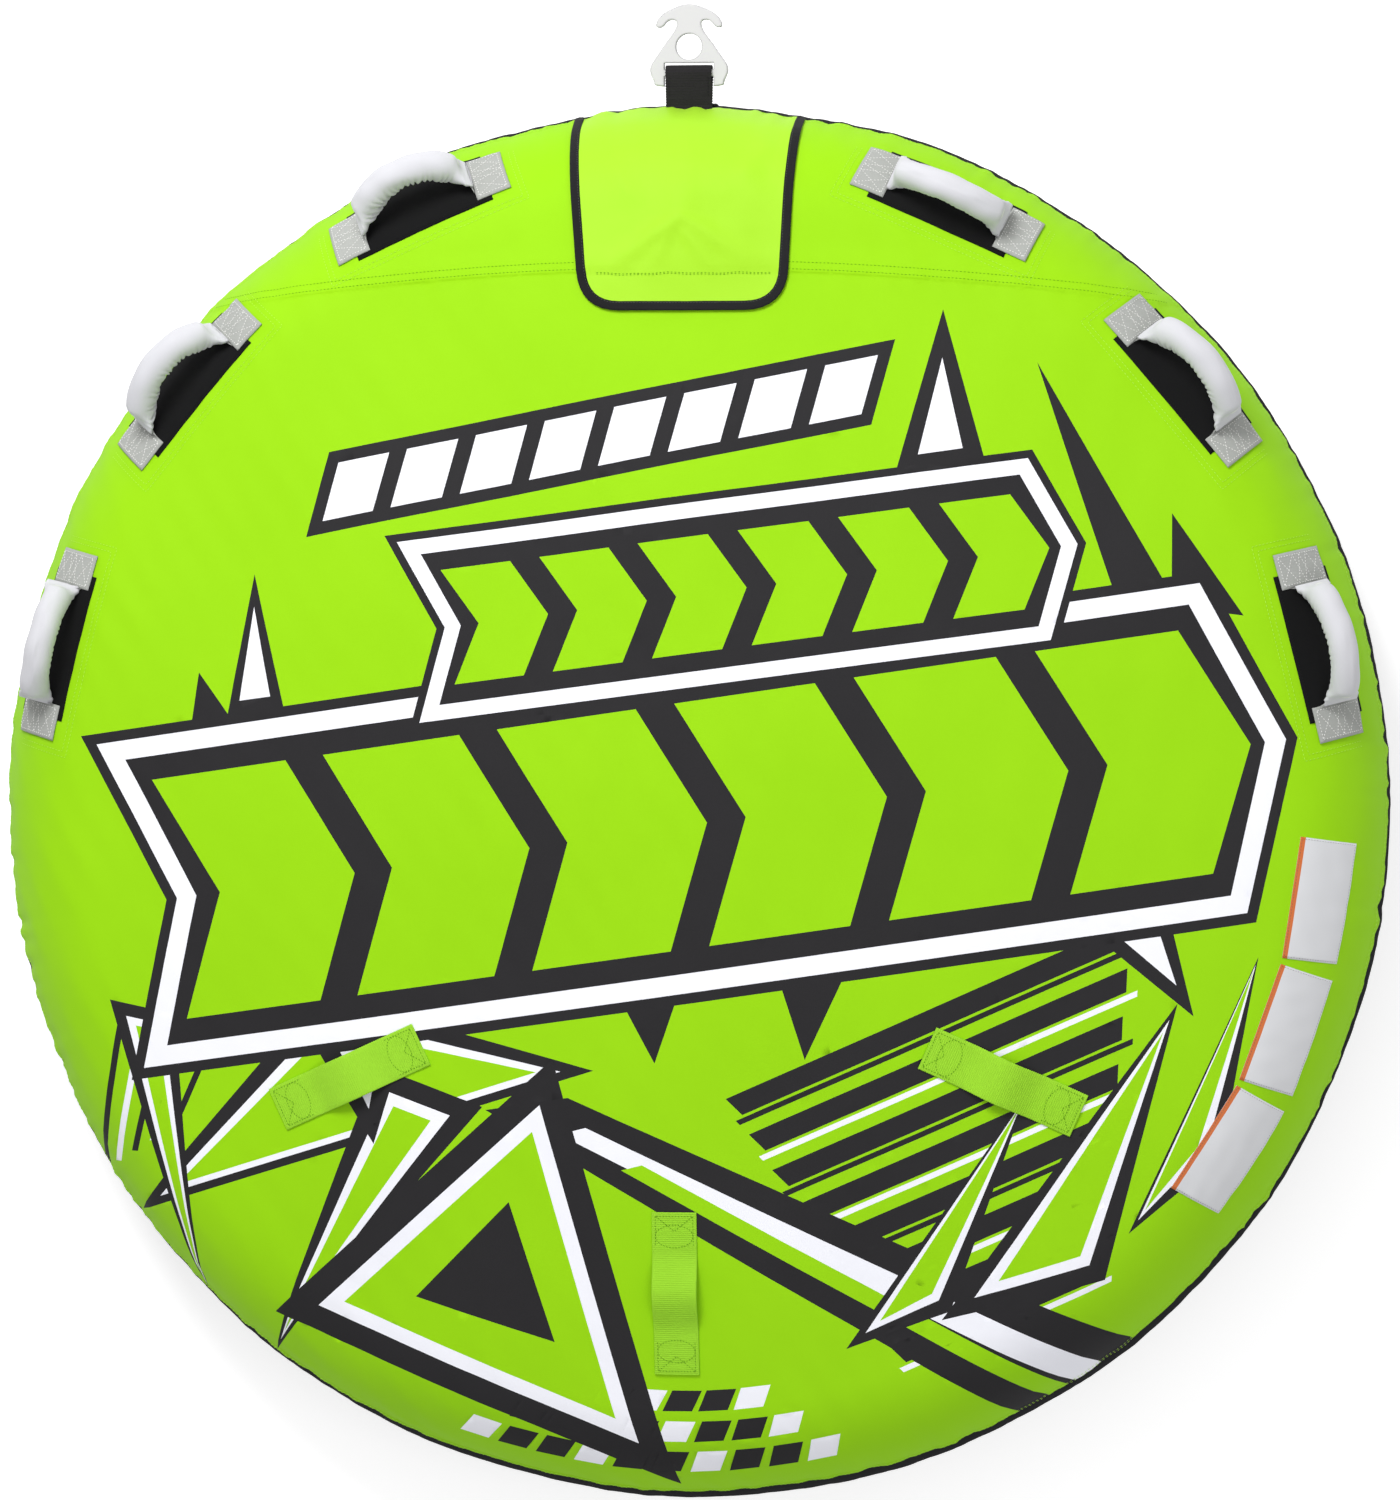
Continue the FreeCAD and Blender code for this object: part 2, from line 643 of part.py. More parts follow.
def make_harness():
    gap = size("layer_gap")
    pick = Part.makeBox(size("webbing_width"), 400, 500,
                        Vector(-size("webbing_width") / 2, size("harness_start"), -50))
    webbing = layer(gap, gap + size("webbing_thickness"), SEAM_SLOPE + 8, 181).common(pick)
    add_shape("tow_harness", one_solid(webbing))


# ---------------------------------------------------------------- build, check and export
GAP = size("layer_gap")
GUARD_TOP = GAP + size("tape_thickness")
PAD_BOTTOM = GUARD_TOP + GAP
RIM_LAYERS = {
    "guard": layer(GAP, GUARD_TOP, 1, SEAM_SLOPE),
    "pad": layer(PAD_BOTTOM, PAD_BOTTOM + size("webbing_thickness"), 1, SEAM_SLOPE),
    "patch": layer(GAP, GAP + 0.5, 1, SEAM_SLOPE),
}

make_inflated_parts()
make_valve()
make_flap()
for handle_side in ("left", "right"):
    for handle_row in (1, 2, 3):
        make_handle(handle_side, handle_row)
make_boarding_strap("boarding_strap_rear", size("rear_strap_radius"), -90, 90)
for strap_side, sign in (("left", -1), ("right", 1)):
    make_boarding_strap("boarding_strap_" + strap_side, size("side_strap_radius"),
                        -90 + sign * size("side_strap_azimuth"), -sign * size("side_strap_turn"))
for patch_number in (1, 2, 3):
    make_patch(patch_number)
make_tow_strap()
make_tow_hook()
make_grommets()
make_zipper()
make_harness()
doc.recompute()

for item in doc.Objects:
    if "Invalid" in item.State or "Error" in item.State:
        raise RuntimeError("%s did not build: %s" % (item.Label, item.State))

os.makedirs("parts", exist_ok=True)
for item in sub_parts:
    if item.Shape.isNull() or not item.Shape.isValid():
        raise RuntimeError("%s has no valid shape" % item.Label)
    item.Shape.exportStep("parts/%s.step" % item.Label)
print(len(sub_parts), "sub-parts exported")
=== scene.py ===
import json
import math
import random

import bpy
import numpy as np
from mathutils import Matrix, Vector
from mathutils.geometry import delaunay_2d_cdt


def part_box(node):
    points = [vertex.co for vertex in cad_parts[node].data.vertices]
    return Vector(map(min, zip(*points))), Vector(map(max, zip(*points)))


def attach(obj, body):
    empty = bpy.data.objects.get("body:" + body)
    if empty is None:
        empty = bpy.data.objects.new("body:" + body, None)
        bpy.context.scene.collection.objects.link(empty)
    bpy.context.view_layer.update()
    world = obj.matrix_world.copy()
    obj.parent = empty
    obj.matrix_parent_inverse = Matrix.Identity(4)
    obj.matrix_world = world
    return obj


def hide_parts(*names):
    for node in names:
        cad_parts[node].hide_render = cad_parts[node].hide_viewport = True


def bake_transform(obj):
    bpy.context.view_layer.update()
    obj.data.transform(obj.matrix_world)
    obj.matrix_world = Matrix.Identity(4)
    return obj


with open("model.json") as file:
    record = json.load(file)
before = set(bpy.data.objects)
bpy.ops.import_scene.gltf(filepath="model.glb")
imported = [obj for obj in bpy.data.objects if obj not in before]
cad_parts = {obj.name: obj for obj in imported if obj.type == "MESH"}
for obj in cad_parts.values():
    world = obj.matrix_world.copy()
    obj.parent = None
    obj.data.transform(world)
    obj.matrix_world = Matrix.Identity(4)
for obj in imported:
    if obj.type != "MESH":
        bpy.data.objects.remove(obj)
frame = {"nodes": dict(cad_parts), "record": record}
JOINTS = {joint["name"]: joint for joint in frame["record"]["behaviour"]["joints"]}
MM = 0.001


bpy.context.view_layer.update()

# ---------------------------------------------------------------- the tube's profile
# Everything sewn to the tube is laid on one profile turned about Z.  A place on it is (s, turn):
# s is the distance along the cloth from the deck's middle, turn the azimuth in radians.
UNDERSIDE_LOW, UNDERSIDE_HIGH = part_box("cover_underside")
TUBE_RADIUS = (UNDERSIDE_HIGH.x - UNDERSIDE_LOW.x) / 2
DECK_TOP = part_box("cover_deck")[1].z
EDGE_RADIUS = 0.140
EDGE_HEIGHT = 0.160
FLOOR_RADIUS = 0.420
SEAM_SLOPE = math.radians(73)
RING = TUBE_RADIUS - EDGE_RADIUS
RISE = DECK_TOP - EDGE_HEIGHT
DOME = (RING ** 2 + RISE ** 2 - EDGE_RADIUS ** 2) / (2 * (RISE - EDGE_RADIUS))
DOME_SLOPE = math.asin(RING / (DOME - EDGE_RADIUS))
BELLY = ((RING - FLOOR_RADIUS) ** 2 + EDGE_HEIGHT ** 2 - EDGE_RADIUS ** 2) / (
    2 * (EDGE_HEIGHT - EDGE_RADIUS))
BELLY_SLOPE = math.pi - math.asin((RING - FLOOR_RADIUS) / (BELLY - EDGE_RADIUS))
S_DOME = DOME * DOME_SLOPE
S_SEAM = S_DOME + EDGE_RADIUS * (SEAM_SLOPE - DOME_SLOPE)
S_BELLY = S_DOME + EDGE_RADIUS * (BELLY_SLOPE - DOME_SLOPE)
S_FLOOR = S_BELLY + BELLY * (math.pi - BELLY_SLOPE)
S_END = S_FLOOR + FLOOR_RADIUS
VALVE_Y = 0.640
VALVE_HOLE = 0.036


def profile(s):
    """Plan radius, height and slope at a distance s along the cloth."""
    s = np.asarray(s, float)
    edge_slope = DOME_SLOPE + (s - S_DOME) / EDGE_RADIUS
    belly_slope = BELLY_SLOPE + (s - S_BELLY) / BELLY
    zones = [s < S_DOME, s < S_BELLY, s < S_FLOOR]
    slope = np.select(zones, [s / DOME, edge_slope, belly_slope], math.pi)
    radius = np.select(zones, [DOME * np.sin(slope), RING + EDGE_RADIUS * np.sin(slope),
                               FLOOR_RADIUS + BELLY * np.sin(slope)], S_END - s)
    height = np.select(zones, [DECK_TOP - DOME * (1 - np.cos(slope)),
                               EDGE_HEIGHT + EDGE_RADIUS * np.cos(slope),
                               BELLY * (1 + np.cos(slope))], 0)
    return radius, height, slope


def place_on(x, y):
    """(s, turn) of a plan point on the deck."""
    x, y = np.asarray(x, float), np.asarray(y, float)
    rho = np.hypot(x, y)
    on_dome = rho < DOME * math.sin(DOME_SLOPE)
    dome = DOME * np.arcsin(np.minimum(rho / DOME, 1))
    edge = np.arcsin(np.clip((rho - RING) / EDGE_RADIUS, -1, 1))
    return np.where(on_dome, dome, S_DOME + EDGE_RADIUS * (edge - DOME_SLOPE)), np.arctan2(y, x)


def nearest(points):
    """(s, turn) under points that float just off the top half of the tube."""
    points = np.asarray(points, float)
    rho = np.hypot(points[..., 0], points[..., 1])
    dome = np.arctan2(rho, points[..., 2] - (DECK_TOP - DOME))
    edge = np.arctan2(rho - RING, points[..., 2] - EDGE_HEIGHT)
    s = np.where(dome < DOME_SLOPE, DOME * dome, S_DOME + EDGE_RADIUS * (edge - DOME_SLOPE))
    return s, np.arctan2(points[..., 1], points[..., 0])


def waves(x, y, length, seed, count=6):
    """Smooth irregular waves of about the given length, between about -1 and 1."""
    dice = random.Random(seed)
    total = np.zeros(np.broadcast(x, y).shape)
    for _ in range(count):
        heading = dice.uniform(0, math.pi)
        pitch = length * dice.uniform(0.7, 1.5)
        phase = dice.uniform(0, 2 * math.pi)
        total += np.sin((x * math.cos(heading) + y * math.sin(heading)) * 2 * math.pi / pitch + phase)
    return total / math.sqrt(count)


def ramp(value, start, end):
    """0 before start, 1 past end, eased between."""
    t = np.clip((value - start) / (end - start), 0, 1)
    return t * t * (3 - 2 * t)


NOSE_SEAM_FRONT = 0.604
NOSE_SEAM_RADIUS = 3.8


def nose_seam_y(x):
    """The cross seam in plan."""
    return NOSE_SEAM_FRONT - x * x / (2 * NOSE_SEAM_RADIUS)


# The sewn edge wanders from its level line: further down at the right and the nose, and higher at the
# rear, where the black underside shows most.
DRIFT_RIGHT, DRIFT_NOSE, DRIFT_REAR = 18 * MM, 6 * MM, 22 * MM
DRIFT_START, DRIFT_FADE = 0.80, 0.12


def seam_drift(s, turn):
    """Distances along the cloth, moved with the sewn edge."""
    offset = (DRIFT_RIGHT * np.maximum(0, np.cos(turn)) ** 1.5
              + DRIFT_NOSE * np.maximum(0, np.sin(turn)) ** 1.5
              - DRIFT_REAR * np.maximum(0, -np.sin(turn)) ** 1.5)
    share = np.where(s < S_SEAM, (s - DRIFT_START) / (S_SEAM - DRIFT_START), 1 - (s - S_SEAM) / DRIFT_FADE)
    return s + offset * np.clip(share, 0, 1)


def cloth_relief(s, turn):
    """How far the cover stands off its smooth profile."""
    x, y = s * np.cos(turn), s * np.sin(turn)
    relief = 1.5 * MM * waves(x, y, 0.24, 3) + 0.3 * MM * waves(x, y, 0.05, 4)
    # Puckers beside the sewn edge.
    scale = TUBE_RADIUS / 0.8
    round_x, round_y = scale * np.cos(turn), scale * np.sin(turn)
    pucker = waves(round_x, round_y, 0.055, 5) * 0.6 + waves(round_x, round_y, 0.026, 6) * 0.7
    pucker += waves(round_x, round_y, 0.013, 9) * 0.35 * np.exp(-np.abs(s - S_SEAM) / 0.012)
    strength = 0.35 + 0.65 * ramp(waves(round_x, round_y, 0.3, 7), -0.8, 0.8)
    reach = np.where(s < S_SEAM, 0.026, 0.030)
    relief += 2.1 * MM * pucker * strength * np.exp(-np.abs(s - S_SEAM) / reach)
    # The cross seam: one panel folded over the other, with gathers along it.
    radius = profile(s)[0]
    plan_x, plan_y = radius * np.cos(turn), radius * np.sin(turn)
    ahead = plan_y - nose_seam_y(plan_x)
    on_top = s < S_SEAM + 0.01
    fold = ramp(ahead, -0.6 * MM, 1.6 * MM) * (1 - ramp(ahead, 13 * MM, 34 * MM))
    gathers = waves(plan_x, plan_y * 0.2, 0.03, 8) * np.exp(-np.abs(ahead) / 0.011)
    relief += np.where(on_top, 1.1 * MM * fold + 0.45 * MM * gathers, 0)
    # Smooth round the valve and toward the floor.
    calm = ramp(np.hypot(plan_x, plan_y - VALVE_Y), 0.04, 0.09)
    below = 1 - 0.9 * ramp(s, S_SEAM + 0.12, S_SEAM + 0.3)
    return relief * np.where(on_top, calm, below)


def on_cloth(s, turn, lift=0, drift=False):
    """Points on the cover, lifted off it, and the outward directions there."""
    radius, height, slope = profile(seam_drift(s, turn) if drift else s)
    normal = np.stack([np.sin(slope) * np.cos(turn), np.sin(slope) * np.sin(turn),
                       np.cos(slope) + 0 * turn], -1)
    base = np.stack([radius * np.cos(turn), radius * np.sin(turn), height + 0 * turn], -1)
    off = cloth_relief(s, turn) + lift
    return base + normal * off[..., None], normal


# ---------------------------------------------------------------- materials
def tone(hexcode):
    """An sRGB hex colour as linear RGBA."""
    parts = [int(hexcode[i:i + 2], 16) / 255 for i in (0, 2, 4)]
    return tuple(c / 12.92 if c <= 0.04045 else ((c + 0.055) / 1.055) ** 2.4 for c in parts) + (1,)


def set_inputs(item, **inputs):
    """Set a node's inputs by name, with _ for a space."""
    for name, value in inputs.items():
        item.inputs[name.replace("_", " ")].default_value = value


def node(tree, kind, **inputs):
    """A new node with some of its inputs set."""
    item = tree.nodes.new(kind)
    set_inputs(item, **inputs)
    return item


def maths(tree, operation, *values):
    """The result of a maths node that is fed with sockets and numbers."""
    item = tree.nodes.new("ShaderNodeMath")
    item.operation = operation
    for number, value in enumerate(values):
        if isinstance(value, (int, float)):
            item.inputs[number].default_value = value
        else:
            tree.links.new(value, item.inputs[number])
    return item.outputs[0]


def new_material(name):
    """A material, its node tree and its main shader."""
    material = bpy.data.materials.new(name)
    material.use_nodes = True
    return material, material.node_tree, material.node_tree.nodes["Principled BSDF"]


def mix_colours(tree, shader, factor, colour, other):
    """Give the shader a mix of two colours."""
    mix = tree.nodes.new("ShaderNodeMix")
    mix.data_type = "RGBA"
    tree.links.new(factor, mix.inputs["Factor"])
    mix.inputs[6].default_value = tone(colour)
    mix.inputs[7].default_value = tone(other)
    tree.links.new(mix.outputs[2], shader.inputs["Base Color"])


def cloth_material(name, colour, other, weave=1.1, rough=0.62, sheen=0.04, grain=0.35, bump=0.25, shine=0.12):
    """Woven cloth: crossed thread waves, weave mm apart, for relief and a mottled mix of two colours."""
    material, tree, shader = new_material(name)
    links = tree.links
    set_inputs(shader, Roughness=rough, Sheen_Weight=sheen, Sheen_Roughness=0.5, Specular_IOR_Level=shine)
    where = tree.nodes.new("ShaderNodeTexCoord")
    pitch = math.pi / (10 * weave * MM)
    across = node(tree, "ShaderNodeTexWave", Scale=pitch, Distortion=0.6, Detail=1.0)
    across.bands_direction = "X"
    down = node(tree, "ShaderNodeTexWave", Scale=pitch, Distortion=0.6, Detail=1.0)
    down.bands_direction = "Y"
    fuzz = node(tree, "ShaderNodeTexNoise", Scale=600, Detail=2.0)
    cloud = node(tree, "ShaderNodeTexNoise", Scale=7, Detail=3.0)
    for texture in (across, down, fuzz, cloud):
        links.new(where.outputs["Object"], texture.inputs["Vector"])
    threads = maths(tree, "MAXIMUM", across.outputs["Fac"], down.outputs["Fac"])
    relief = node(tree, "ShaderNodeBump", Strength=bump, Distance=0.0004)
    links.new(maths(tree, "ADD", threads, fuzz.outputs["Fac"]), relief.inputs["Height"])
    links.new(relief.outputs["Normal"], shader.inputs["Normal"])
    mottle = maths(tree, "MULTIPLY_ADD", fuzz.outputs["Fac"], grain, cloud.outputs["Fac"])
    mix_colours(tree, shader, mottle, colour, other)
    return material


def thread_material(name, colour, other):
    return cloth_material(name, colour, other, weave=0.5, sheen=0)


def plastic_material(name, colour, rough=0.4, bump=0.05, scale=250, metal=0.0, rounding=0.0, rim=None):
    """Moulded plastic or metal with a fine grain, sharp edges softened and, with rim, given painted shade:
    the rim colour is mixed in where the softened edges turn away.
    """
    material, tree, shader = new_material(name)
    links = tree.links
    set_inputs(shader, Base_Color=tone(colour), Metallic=metal)
    where = tree.nodes.new("ShaderNodeTexCoord")
    grain = node(tree, "ShaderNodeTexNoise", Scale=scale, Detail=3.0)
    links.new(where.outputs["Object"], grain.inputs["Vector"])
    relief = node(tree, "ShaderNodeBump", Strength=bump, Distance=0.0005)
    links.new(grain.outputs["Fac"], relief.inputs["Height"])
    links.new(relief.outputs["Normal"], shader.inputs["Normal"])
    if rounding:
        soft = node(tree, "ShaderNodeBevel", Radius=rounding)
        links.new(soft.outputs["Normal"], relief.inputs["Normal"])
    # Painted shade: the darker rim colour is mixed in where the softened edges turn away from the face.
    if rim:
        face = tree.nodes.new("ShaderNodeNewGeometry")
        agree = tree.nodes.new("ShaderNodeVectorMath")
        agree.operation = "DOT_PRODUCT"
        links.new(soft.outputs["Normal"], agree.inputs[0])
        links.new(face.outputs["Normal"], agree.inputs[1])
        turned = node(tree, "ShaderNodeMapRange", From_Min=1.0, From_Max=0.75)
        links.new(agree.outputs["Value"], turned.inputs["Value"])
        mix_colours(tree, shader, turned.outputs[0], colour, rim)
    spread = node(tree, "ShaderNodeMapRange", To_Min=rough * 0.8, To_Max=rough * 1.2)
    links.new(grain.outputs["Fac"], spread.inputs["Value"])
    links.new(spread.outputs[0], shader.inputs["Roughness"])
    return material


GREEN = cloth_material("deck_green", "9bd90e", "94d308")
PRINT_BLACK = cloth_material("print_black", "252426", "2b2a2c", grain=0.5, sheen=0)
PRINT_WHITE = cloth_material("print_white", "f8f8ff", "f2f3fb", sheen=0.05)
FLAP_GREEN = cloth_material("flap_green", "a8de30", "a0d826", rough=0.5)
BLACK_CLOTH = cloth_material("underside_black", "1e1e20", "262628", rough=0.9, bump=0.4, shine=0.05, sheen=0)
BINDING = cloth_material("binding_black", "151516", "232325", weave=1.6, bump=0.9, rough=0.7, sheen=0.03)
TOW_WEBBING = cloth_material("tow_webbing_black", "0e0d0e", "2c2a2c", weave=1.3, bump=0.9, grain=0.8,
                             rough=0.75, sheen=0.03)
GREEN_WEBBING = cloth_material("strap_green", "a2de38", "98d42c", weave=1.3, bump=0.7)
GREY_WEBBING = cloth_material("webbing_grey", "b9bbb7", "a6a8a4", weave=1.6, bump=0.8, grain=0.7)
SLEEVE_WHITE = cloth_material("sleeve_white", "d2d2d6", "cbcbd0", weave=0.8, rough=0.8, sheen=0.1, bump=0.15)
GUARD_BLACK = cloth_material("guard_black", "121212", "19191a", weave=0.7, rough=0.85, bump=0.3, sheen=0,
                             shine=0.08)
THREAD_GREEN = thread_material("thread_green", "64a40c", "5c9a08")
THREAD_GREEN_DARK = thread_material("thread_green_dark", "5f9a10", "568c0c")
THREAD_LIME = thread_material("thread_lime", "c2ee62", "b9e854")
THREAD_WHITE = thread_material("thread_white", "f4f4f2", "ebebe8")
THREAD_DARK = thread_material("thread_dark", "6f716f", "626462")
THREAD_BLACK = thread_material("thread_black", "0f0f10", "161617")
FOAM = plastic_material("foam_white", "e2e2e0", rough=0.9, bump=0.3, scale=700)
PATCH_WHITE = plastic_material("patch_white", "d8d9dc", rough=0.45, bump=0.04, scale=60)
PATCH_ORANGE = plastic_material("patch_orange", "d06a28", rough=0.45, bump=0.04, scale=60)
# The hook's rim colour 8c8c8e is painted shade on its rounded edges.
HOOK_WHITE = plastic_material("hook_white", "c9c8c9", rough=0.5, bump=0.06, scale=90, rounding=0.0025,
                              rim="8c8c8e")
VALVE_BLACK = plastic_material("valve_black", "222224", rough=0.45, rounding=0.0008)
PVC_BLACK = plastic_material("bladder_black", "1d1d20", rough=0.35, bump=0.1, scale=40)
ZIP_BLACK = plastic_material("zipper_black", "202022")
ZIP_METAL = plastic_material("slider_black", "303032", rough=0.35, metal=0.6, rounding=0.0006)
EYELET = plastic_material("eyelet_metal", "b7b3a8", rough=0.3, metal=1.0, rounding=0.0004)


# ---------------------------------------------------------------- mesh helpers
def add_piece(name, points, faces, materials, body, face_materials=None, smooth=True):
    """A mesh piece that rides on a body, when one is given."""
    mesh = bpy.data.meshes.new(name)
    mesh.from_pydata([tuple(p) for p in points], [], faces)
    for material in materials:
        mesh.materials.append(material)
    if face_materials is not None:
        mesh.polygons.foreach_set("material_index", face_materials)
    mesh.polygons.foreach_set("use_smooth", [smooth] * len(mesh.polygons))
    mesh.update()
    piece = bpy.data.objects.new(name, mesh)
    bpy.context.collection.objects.link(piece)
    if body:
        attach(piece, body)
    return piece


def grid_faces(rows, columns, offset=0, flip=False, wrap=False):
    """The four-sided faces of a grid of points; wrap joins its last column to its first."""
    faces = []
    span = columns if wrap else columns - 1
    for i in range(rows - 1):
        for j in range(span):
            k = (j + 1) % columns
            quad = (offset + i * columns + j, offset + (i + 1) * columns + j,
                    offset + (i + 1) * columns + k, offset + i * columns + k)
            faces.append(quad[::-1] if flip else quad)
    return faces


def slab(name, top, bottom, materials, body="tube", strips=()):
    """A closed sheet between two grids of points.  strips numbers the materials of its top faces."""
    rows, columns = top.shape[:2]
    points = np.concatenate([top.reshape(-1, 3), bottom.reshape(-1, 3)])
    count = rows * columns
    faces = grid_faces(rows, columns) + grid_faces(rows, columns, count, flip=True)
    rim = [(0, j) for j in range(columns - 1)] + [(i, columns - 1) for i in range(rows - 1)]
    rim += [(rows - 1, j) for j in range(columns - 1, 0, -1)] + [(i, 0) for i in range(rows - 1, 0, -1)]
    for (i, j), (k, l) in zip(rim, rim[1:] + rim[:1]):
        a, b = i * columns + j, k * columns + l
        faces.append((a, b, count + b, count + a))
    chosen = list(strips) + [0] * (len(faces) - len(strips))
    return add_piece(name, points, faces, materials, body, chosen)


def rod(name, rings, material, body):
    """A closed skin through rings of points, flat at both ends."""
    length, count = rings.shape[:2]
    faces = grid_faces(length, count, wrap=True)
    faces += [tuple(range(count)), tuple(range((length - 1) * count, length * count))[::-1]]
    return add_piece(name, rings.reshape(-1, 3), faces, [material], body)


def swept(name, centres, sides, ups, half_width, half_thick, material, body, power=0.7, count=16):
    """A strip with rounded edges along a line of points."""
    around = np.linspace(0, 2 * math.pi, count, endpoint=False)
    across = np.sign(np.cos(around)) * np.abs(np.cos(around)) ** power
    over = np.sign(np.sin(around)) * np.abs(np.sin(around)) ** power
    width = np.multiply.outer(np.broadcast_to(half_width, len(centres)), across)
    thick = np.multiply.outer(np.broadcast_to(half_thick, len(centres)), over)
    rings = centres[:, None] + sides[:, None] * width[..., None] + ups[:, None] * thick[..., None]
    return rod(name, rings, material, body)


def travelled(points):
    """The distance along a line of points to each of them."""
    return np.concatenate([[0], np.cumsum(np.linalg.norm(np.diff(points, axis=0), axis=1))])


def unit(vectors):
    """Vectors scaled to length 1."""
    return vectors / np.linalg.norm(vectors, axis=-1, keepdims=True)


# A stitch: its share of the pitch, how far it rises, and the faces of its lozenge.
STITCH_SHARE = 0.72
STITCH_RISE = 0.25 * MM
STITCH_FACES = ((0, 1, 2), (0, 2, 3), (4, 2, 1), (4, 3, 2), (0, 5, 1), (0, 3, 5), (4, 1, 5), (4, 5, 3))


class Thread:
    """Sewn stitches of one colour, gathered into a single piece.  With no body their placement is baked into
    the mesh.
    """

    def __init__(self, name, material, body, slot, thick=0.9 * MM):
        self.name, self.material, self.body, self.slot, self.thick = name, material, body, slot, thick
        self.points, self.faces = [], []

    def row(self, points, normals, pitch):
        """Stitches along a line of points, each a short raised lozenge of thread."""
        points, normals = np.asarray(points, float), np.asarray(normals, float)
        travel = travelled(points)
        count = max(1, int(travel[-1] / pitch))
        middles = (np.arange(count) + 0.5) * travel[-1] / count
        for middle in middles:
            ends = [middle - pitch * STITCH_SHARE / 2, middle + pitch * STITCH_SHARE / 2]
            a, b = (np.array([np.interp(e, travel, points[:, k]) for k in range(3)]) for e in ends)
            up = np.array([np.interp(middle, travel, normals[:, k]) for k in range(3)])
            self.stitch(a, b, unit(up))

    def stitch(self, a, b, up):
        side = np.cross(b - a, up)
        side = side / (np.linalg.norm(side) + 1e-12) * self.thick / 2
        centre = (a + b) / 2 + up * STITCH_RISE
        a, b = a + up * STITCH_RISE * 0.3, b + up * STITCH_RISE * 0.3
        base = len(self.points)
        self.points += [a, centre + side, centre + up * self.thick / 2, centre - side, b,
                        centre - up * self.thick / 2]
        self.faces += [tuple(base + k for k in corners) for corners in STITCH_FACES]

    def sew(self):
        piece = add_piece(self.name, self.points, self.faces, [self.material], self.body,
                          smooth=False)
        if not self.body:
            bend_at_flap_hinge(piece)


def line(a, b, count):
    """Evenly spaced points between two points."""
    return [tuple(np.asarray(a, float) * (1 - t) + np.asarray(b, float) * t)
            for t in np.linspace(0, 1, count)]


def path(*corners, spacing=8 * MM):
    """A polyline through corners with points added along its sides."""
    points = []
    for a, b in zip(corners, corners[1:]):
        count = max(2, int(math.dist(a, b) / spacing))
        points += line(a, b, count)[:-1]
    return points + [tuple(corners[-1])]


# ---------------------------------------------------------------- printed shapes on the deck
# The deck's materials by number.  HOLE stands for faces left out, at the valve.
LIME, BLACK, WHITE, HOLE = 0, 1, 2, 9
prints = []


def area_of(shape):
    """An outline's area, positive when it runs anticlockwise."""
    return sum(a[0] * b[1] - b[0] * a[1] for a, b in zip(shape, shape[1:] + shape[:1])) / 2


def grown(shape, margin):
    """A simple outline moved outward by margin, its corners kept sharp but not too long."""
    if area_of(shape) < 0:
        shape = shape[::-1]
    result = []
    for before, here, after in zip(shape[-1:] + shape[:-1], shape, shape[1:] + shape[:1]):
        first = np.subtract(here, before)
        second = np.subtract(after, here)
        n1 = np.array([first[1], -first[0]]) / np.hypot(*first)
        n2 = np.array([second[1], -second[0]]) / np.hypot(*second)
        reach = min(margin / max(1 + n1 @ n2, 0.25), 3 * abs(margin))
        result.append(tuple(np.array(here) + (n1 + n2) * reach))
    return result


def placed(shape, centre, lean):
    """An outline in millimetres turned by lean degrees and moved to centre, in metres."""
    c, s = math.cos(math.radians(lean)), math.sin(math.radians(lean))
    return [((centre[0] + x * c - y * s) * MM, (centre[1] + x * s + y * c) * MM) for x, y in shape]


def ink(shape, colour, centre=(0, 0), lean=0):
    """Print an outline over all that is printed already."""
    if area_of(shape) < 0:
        shape = shape[::-1]
    prints.append((placed(shape, centre, lean), colour))


def bar(width, height, shear):
    """A leaning block."""
    return [(-width / 2 - shear / 2, -height / 2), (width / 2 - shear / 2, -height / 2),
            (width / 2 + shear / 2, height / 2), (-width / 2 + shear / 2, height / 2)]


def chevron(width, height, depth):
    """An arrow head with a notched back."""
    return [(-width / 2, -height / 2), (width / 2 - depth, -height / 2), (width / 2, 0),
            (width / 2 - depth, height / 2), (-width / 2, height / 2), (-width / 2 + depth, 0)]


def upper_blocks():
    """A rising row of leaning white blocks, outlined in black."""
    turn = math.radians(11)
    spots = [(-87 + along * math.cos(turn), 415 + along * math.sin(turn))
             for along in (81 * (number - 3.5) for number in range(8))]
    for spot in spots:
        ink(grown(bar(60, 62, 30), 14), BLACK, spot, 11)
    for spot in spots:
        ink(bar(60, 62, 30), WHITE, spot, 11)


def chevron_band(centre, lean, length, height, count, depth, rims):
    """A framed black band filled with a row of green arrow heads."""
    band = chevron(length, height, depth)
    ink(grown(band, rims[0]), BLACK, centre, lean)
    ink(grown(band, rims[1]), WHITE, centre, lean)
    ink(band, BLACK, centre, lean)
    pitch = (length - depth) / count
    turn = math.radians(lean)
    for number in range(count):
        along = (number + 0.5) * pitch - (length - depth) / 2 + depth * 0.1
        spot = (centre[0] + along * math.cos(turn), centre[1] + along * math.sin(turn))
        ink(chevron(pitch + depth - rims[0] * 1.3, height - rims[0] * 1.6, depth), LIME, spot, lean)


